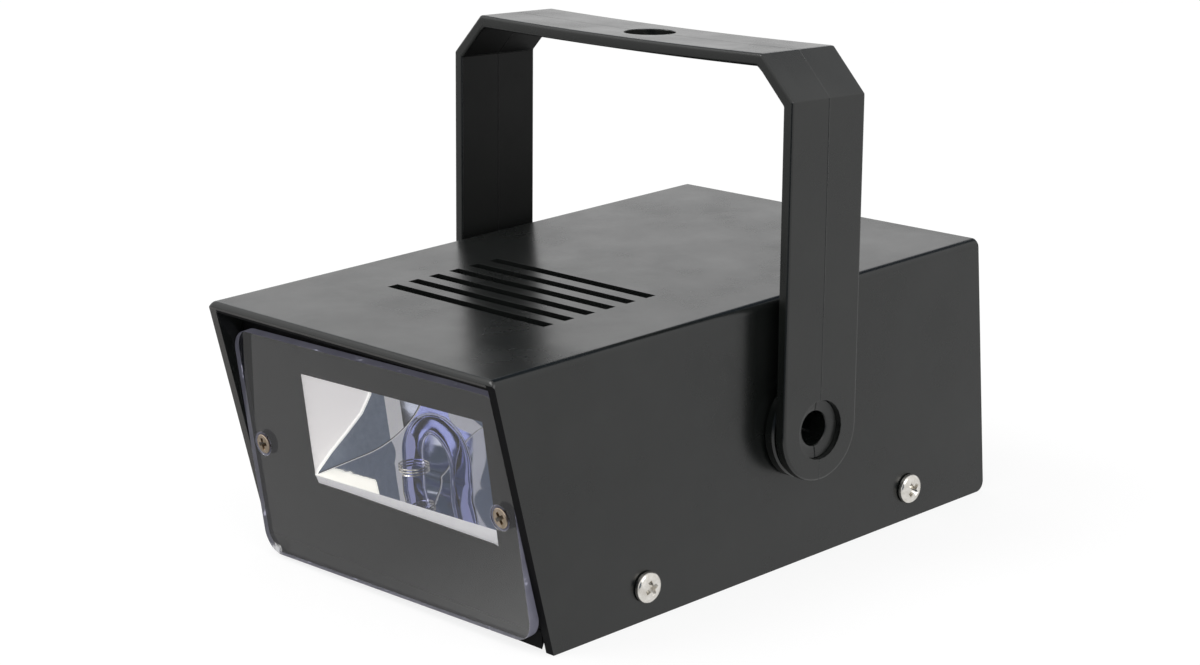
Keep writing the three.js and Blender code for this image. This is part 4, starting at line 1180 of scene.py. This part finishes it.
def screw_template(name, profile, length, width, depth):
    head = as_object(name, turned(profile, HEAD_SIDES))
    cutter = as_object(name + "_cutter", cross_cutter(length, width, depth))
    recess = head.modifiers.new("recess", "BOOLEAN")
    recess.operation = "DIFFERENCE"
    recess.solver = "EXACT"
    recess.use_self = True
    recess.object = cutter
    data = evaluated_mesh(head, name)
    for item in (head, cutter):
        bpy.data.objects.remove(item)
    soft = bmesh.new()
    soft.from_mesh(data)
    bmesh.ops.remove_doubles(soft, verts=soft.verts, dist=RECESS_GAP)
    return as_object(name, soft)


def dome_profile(radius, height, crown, shank, shank_length, steps=8):
    """A pan head: straight rim below, a quarter ellipse above, shank behind."""
    profile = [(0, -height - shank_length), (shank, -height - shank_length), (shank, -height),
               (radius, -height), (radius, -crown)]
    for step in range(1, steps):
        angle = math.pi / 2 * step / steps
        profile.append((radius * math.cos(angle), -crown + crown * math.sin(angle)))
    return profile + [(0, 0)]


side_profile = dome_profile(2.9 * MM, 1.5 * MM, 1.0 * MM, 1.45 * MM, 8 * MM)
lens_profile = [(radius * MM, height * MM) for radius, height in (
    (0, -7.2), (0.95, -7.2), (0.95, -1.2), (1.9, -0.2), (1.9, -0.05), (1.75, 0.05), (0, 0.12))]
side_template = screw_template("side_screw_template", side_profile, 3.3 * MM, 0.95 * MM, 1.1 * MM)
lens_template = screw_template("lens_screw_template", lens_profile, 2.3 * MM, 0.7 * MM, 0.9 * MM)
print("screw templates made")

# %% [markdown]
# Geometry Nodes set a copy of a template at each place, facing outwards and turned by
# its own amount, as a hand-driven screw is. The places are a mesh of single points,
# which carry the facing vector and the turn as attributes.

# %% Geometry Nodes that set copies at places
COPY_SIZE = 1.0
COPY_VALUES = {"facing": "FLOAT_VECTOR", "turn": "FLOAT"}


def copies_tree(name, template, material):
    """Sets one copy of the template at each point, facing along the point's own vector."""
    tree = bpy.data.node_groups.new(name, "GeometryNodeTree")
    new_socket = tree.interface.new_socket
    new_socket("Places", in_out="INPUT", socket_type="NodeSocketGeometry")
    size = new_socket("Copy size", in_out="INPUT", socket_type="NodeSocketFloat")
    size.default_value = COPY_SIZE
    new_socket("Copies", in_out="OUTPUT", socket_type="NodeSocketGeometry")
    start = add_node(tree, "NodeGroupInput").outputs
    points = add_node(tree, "GeometryNodeMeshToPoints", {"Mesh": start["Places"]})
    copy = add_node(tree, "GeometryNodeObjectInfo", {"Object": template})
    values = [add_node(tree, "GeometryNodeInputNamedAttribute", {"Name": value}, data_type=kind)
              for value, kind in COPY_VALUES.items()]
    facing, turn = (node.outputs["Attribute"] for node in values)
    aim = add_node(tree, "FunctionNodeAlignRotationToVector", {"Vector": facing}, axis="Z")
    own_turn = add_node(tree, "ShaderNodeCombineXYZ", {"Z": turn})
    to_rotation = add_node(tree, "FunctionNodeEulerToRotation", {"Euler": own_turn.outputs["Vector"]})
    spin = add_node(tree, "FunctionNodeRotateRotation", {
        "Rotation": aim.outputs["Rotation"], "Rotate By": to_rotation.outputs["Rotation"]},
        rotation_space="LOCAL")
    place = add_node(tree, "GeometryNodeInstanceOnPoints", {
        "Points": points.outputs["Points"], "Instance": copy.outputs["Geometry"],
        "Rotation": spin.outputs["Rotation"], "Scale": start["Copy size"]})
    real = add_node(tree, "GeometryNodeRealizeInstances", {"Geometry": place.outputs["Instances"]})
    finish = add_node(tree, "GeometryNodeSetMaterial", {
        "Geometry": real.outputs["Geometry"], "Material": material})
    add_node(tree, "NodeGroupOutput", {"Copies": finish.outputs["Geometry"]})
    return tree, size.identifier


def set_copies(name, template, places, material, replaced):
    """places: a list of (point, facing vector, own turn in radians)."""
    data = bpy.data.meshes.new(name + "_places")
    data.from_pydata([place for place, _, _ in places], [], [])
    for value, kind in COPY_VALUES.items():
        data.attributes.new(value, kind, "POINT")
    for i, (_, direction, own_turn) in enumerate(places):
        data.attributes["facing"].data[i].vector = direction
        data.attributes["turn"].data[i].value = own_turn
    holder = linked_object(name + "_places", data)
    tree, size_socket = copies_tree(name + "_tree", template, material)
    modifier = holder.modifiers.new("copies", "NODES")
    modifier.node_group = tree
    modifier[size_socket] = COPY_SIZE
    finished = evaluated_mesh(holder, name)
    bpy.data.objects.remove(holder)
    finished.materials.clear()
    finished.materials.append(material)
    for face in finished.polygons:
        face.material_index = 0
    finished.set_sharp_from_angle(angle=SHARP_ANGLE)
    piece = linked_object(name, finished)
    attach(piece, "housing")
    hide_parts(*replaced)
    print(name, "copies:", len(places), "vertices:", len(finished.vertices))


print("copies of size", COPY_SIZE, "can be set")

# %% [markdown]
# Four pan heads sit on the side walls, at the outer faces of their solids. Two small
# countersunk heads sit in the clear plate, raised by a hair, and follow its twist. The
# templates are removed once their copies are real meshes.

# %% Side screws and lens screws
SIDE_TURNS = {"front_right": 0.35, "rear_right": 0.7, "front_left": 0.2, "rear_left": 1.1}
LENS_TURNS = {"left": 0.15, "right": 0.5}
LENS_RAISE = 0.15 * MM
side_places = []
for name, own_turn in SIDE_TURNS.items():
    low, high = box_of(f"side_screw_{name}")
    hand = 1 if name.endswith("right") else -1
    outer = high.x if hand > 0 else low.x
    side_places.append(((outer, (low.y + high.y) / 2, (low.z + high.z) / 2), (hand, 0, 0), own_turn))
lens_places = []
outward = front_unit.to_3x3() @ -REAR
for name, own_turn in LENS_TURNS.items():
    low, high = box_of(f"lens_screw_{name}")
    across = (low.x + high.x) / 2
    lens_places.append((front_unit @ Vector((across * PLATE_SQUEEZE, 0, LENS_RAISE)), outward, own_turn))
set_copies("side_screws", side_template, side_places, nickel, [f"side_screw_{name}" for name in SIDE_TURNS])
set_copies("lens_screws", lens_template, lens_places, yellow_zinc, ["lens_screw_left", "lens_screw_right"])
for template in (side_template, lens_template):
    bpy.data.objects.remove(template)

# %% [markdown]
# The rate knob is a fluted cap with a pointer line. Its solid already has the flutes,
# so a softened copy is enough. The line is white paint, which the finish itself puts
# where a place is close to the line from the middle of the cap's top to its rim.

# %% Knob
knob_low, knob_high = box_of("speed_knob")
KNOB_EASE = 0.18 * MM
MARK_HALF = 0.55 * MM
MARK_START = 2 * MM
MARK_EASE = 0.1 * MM
MARK_DEPTH = 1.0 * MM
MARK_WHITE = (0.78, 0.78, 0.76)


def add_mark(material, top):
    body, where = shader_parts(material)
    across = along(where, RIGHT, top)
    mark = product(ramp(product(across, across), 0.9 * MARK_HALF ** 2, MARK_HALF ** 2, 1, 0),
                   ramp(along(where, UP, top), MARK_START, MARK_START + MARK_EASE, 0, 1),
                   ramp(along(where, REAR, top), -MARK_DEPTH, MARK_EASE - MARK_DEPTH, 0, 1))
    bare = body.inputs["Base Color"].links[0].from_socket
    set_inputs(body, {"Base Color": blend_colours(mark, bare, MARK_WHITE)})


add_mark(knob_black, Vector(((knob_low.x + knob_high.x) / 2, knob_high.y, (knob_low.z + knob_high.z) / 2)))
softened("speed_knob", knob_black, KNOB_EASE, "knob")
print("knob made")
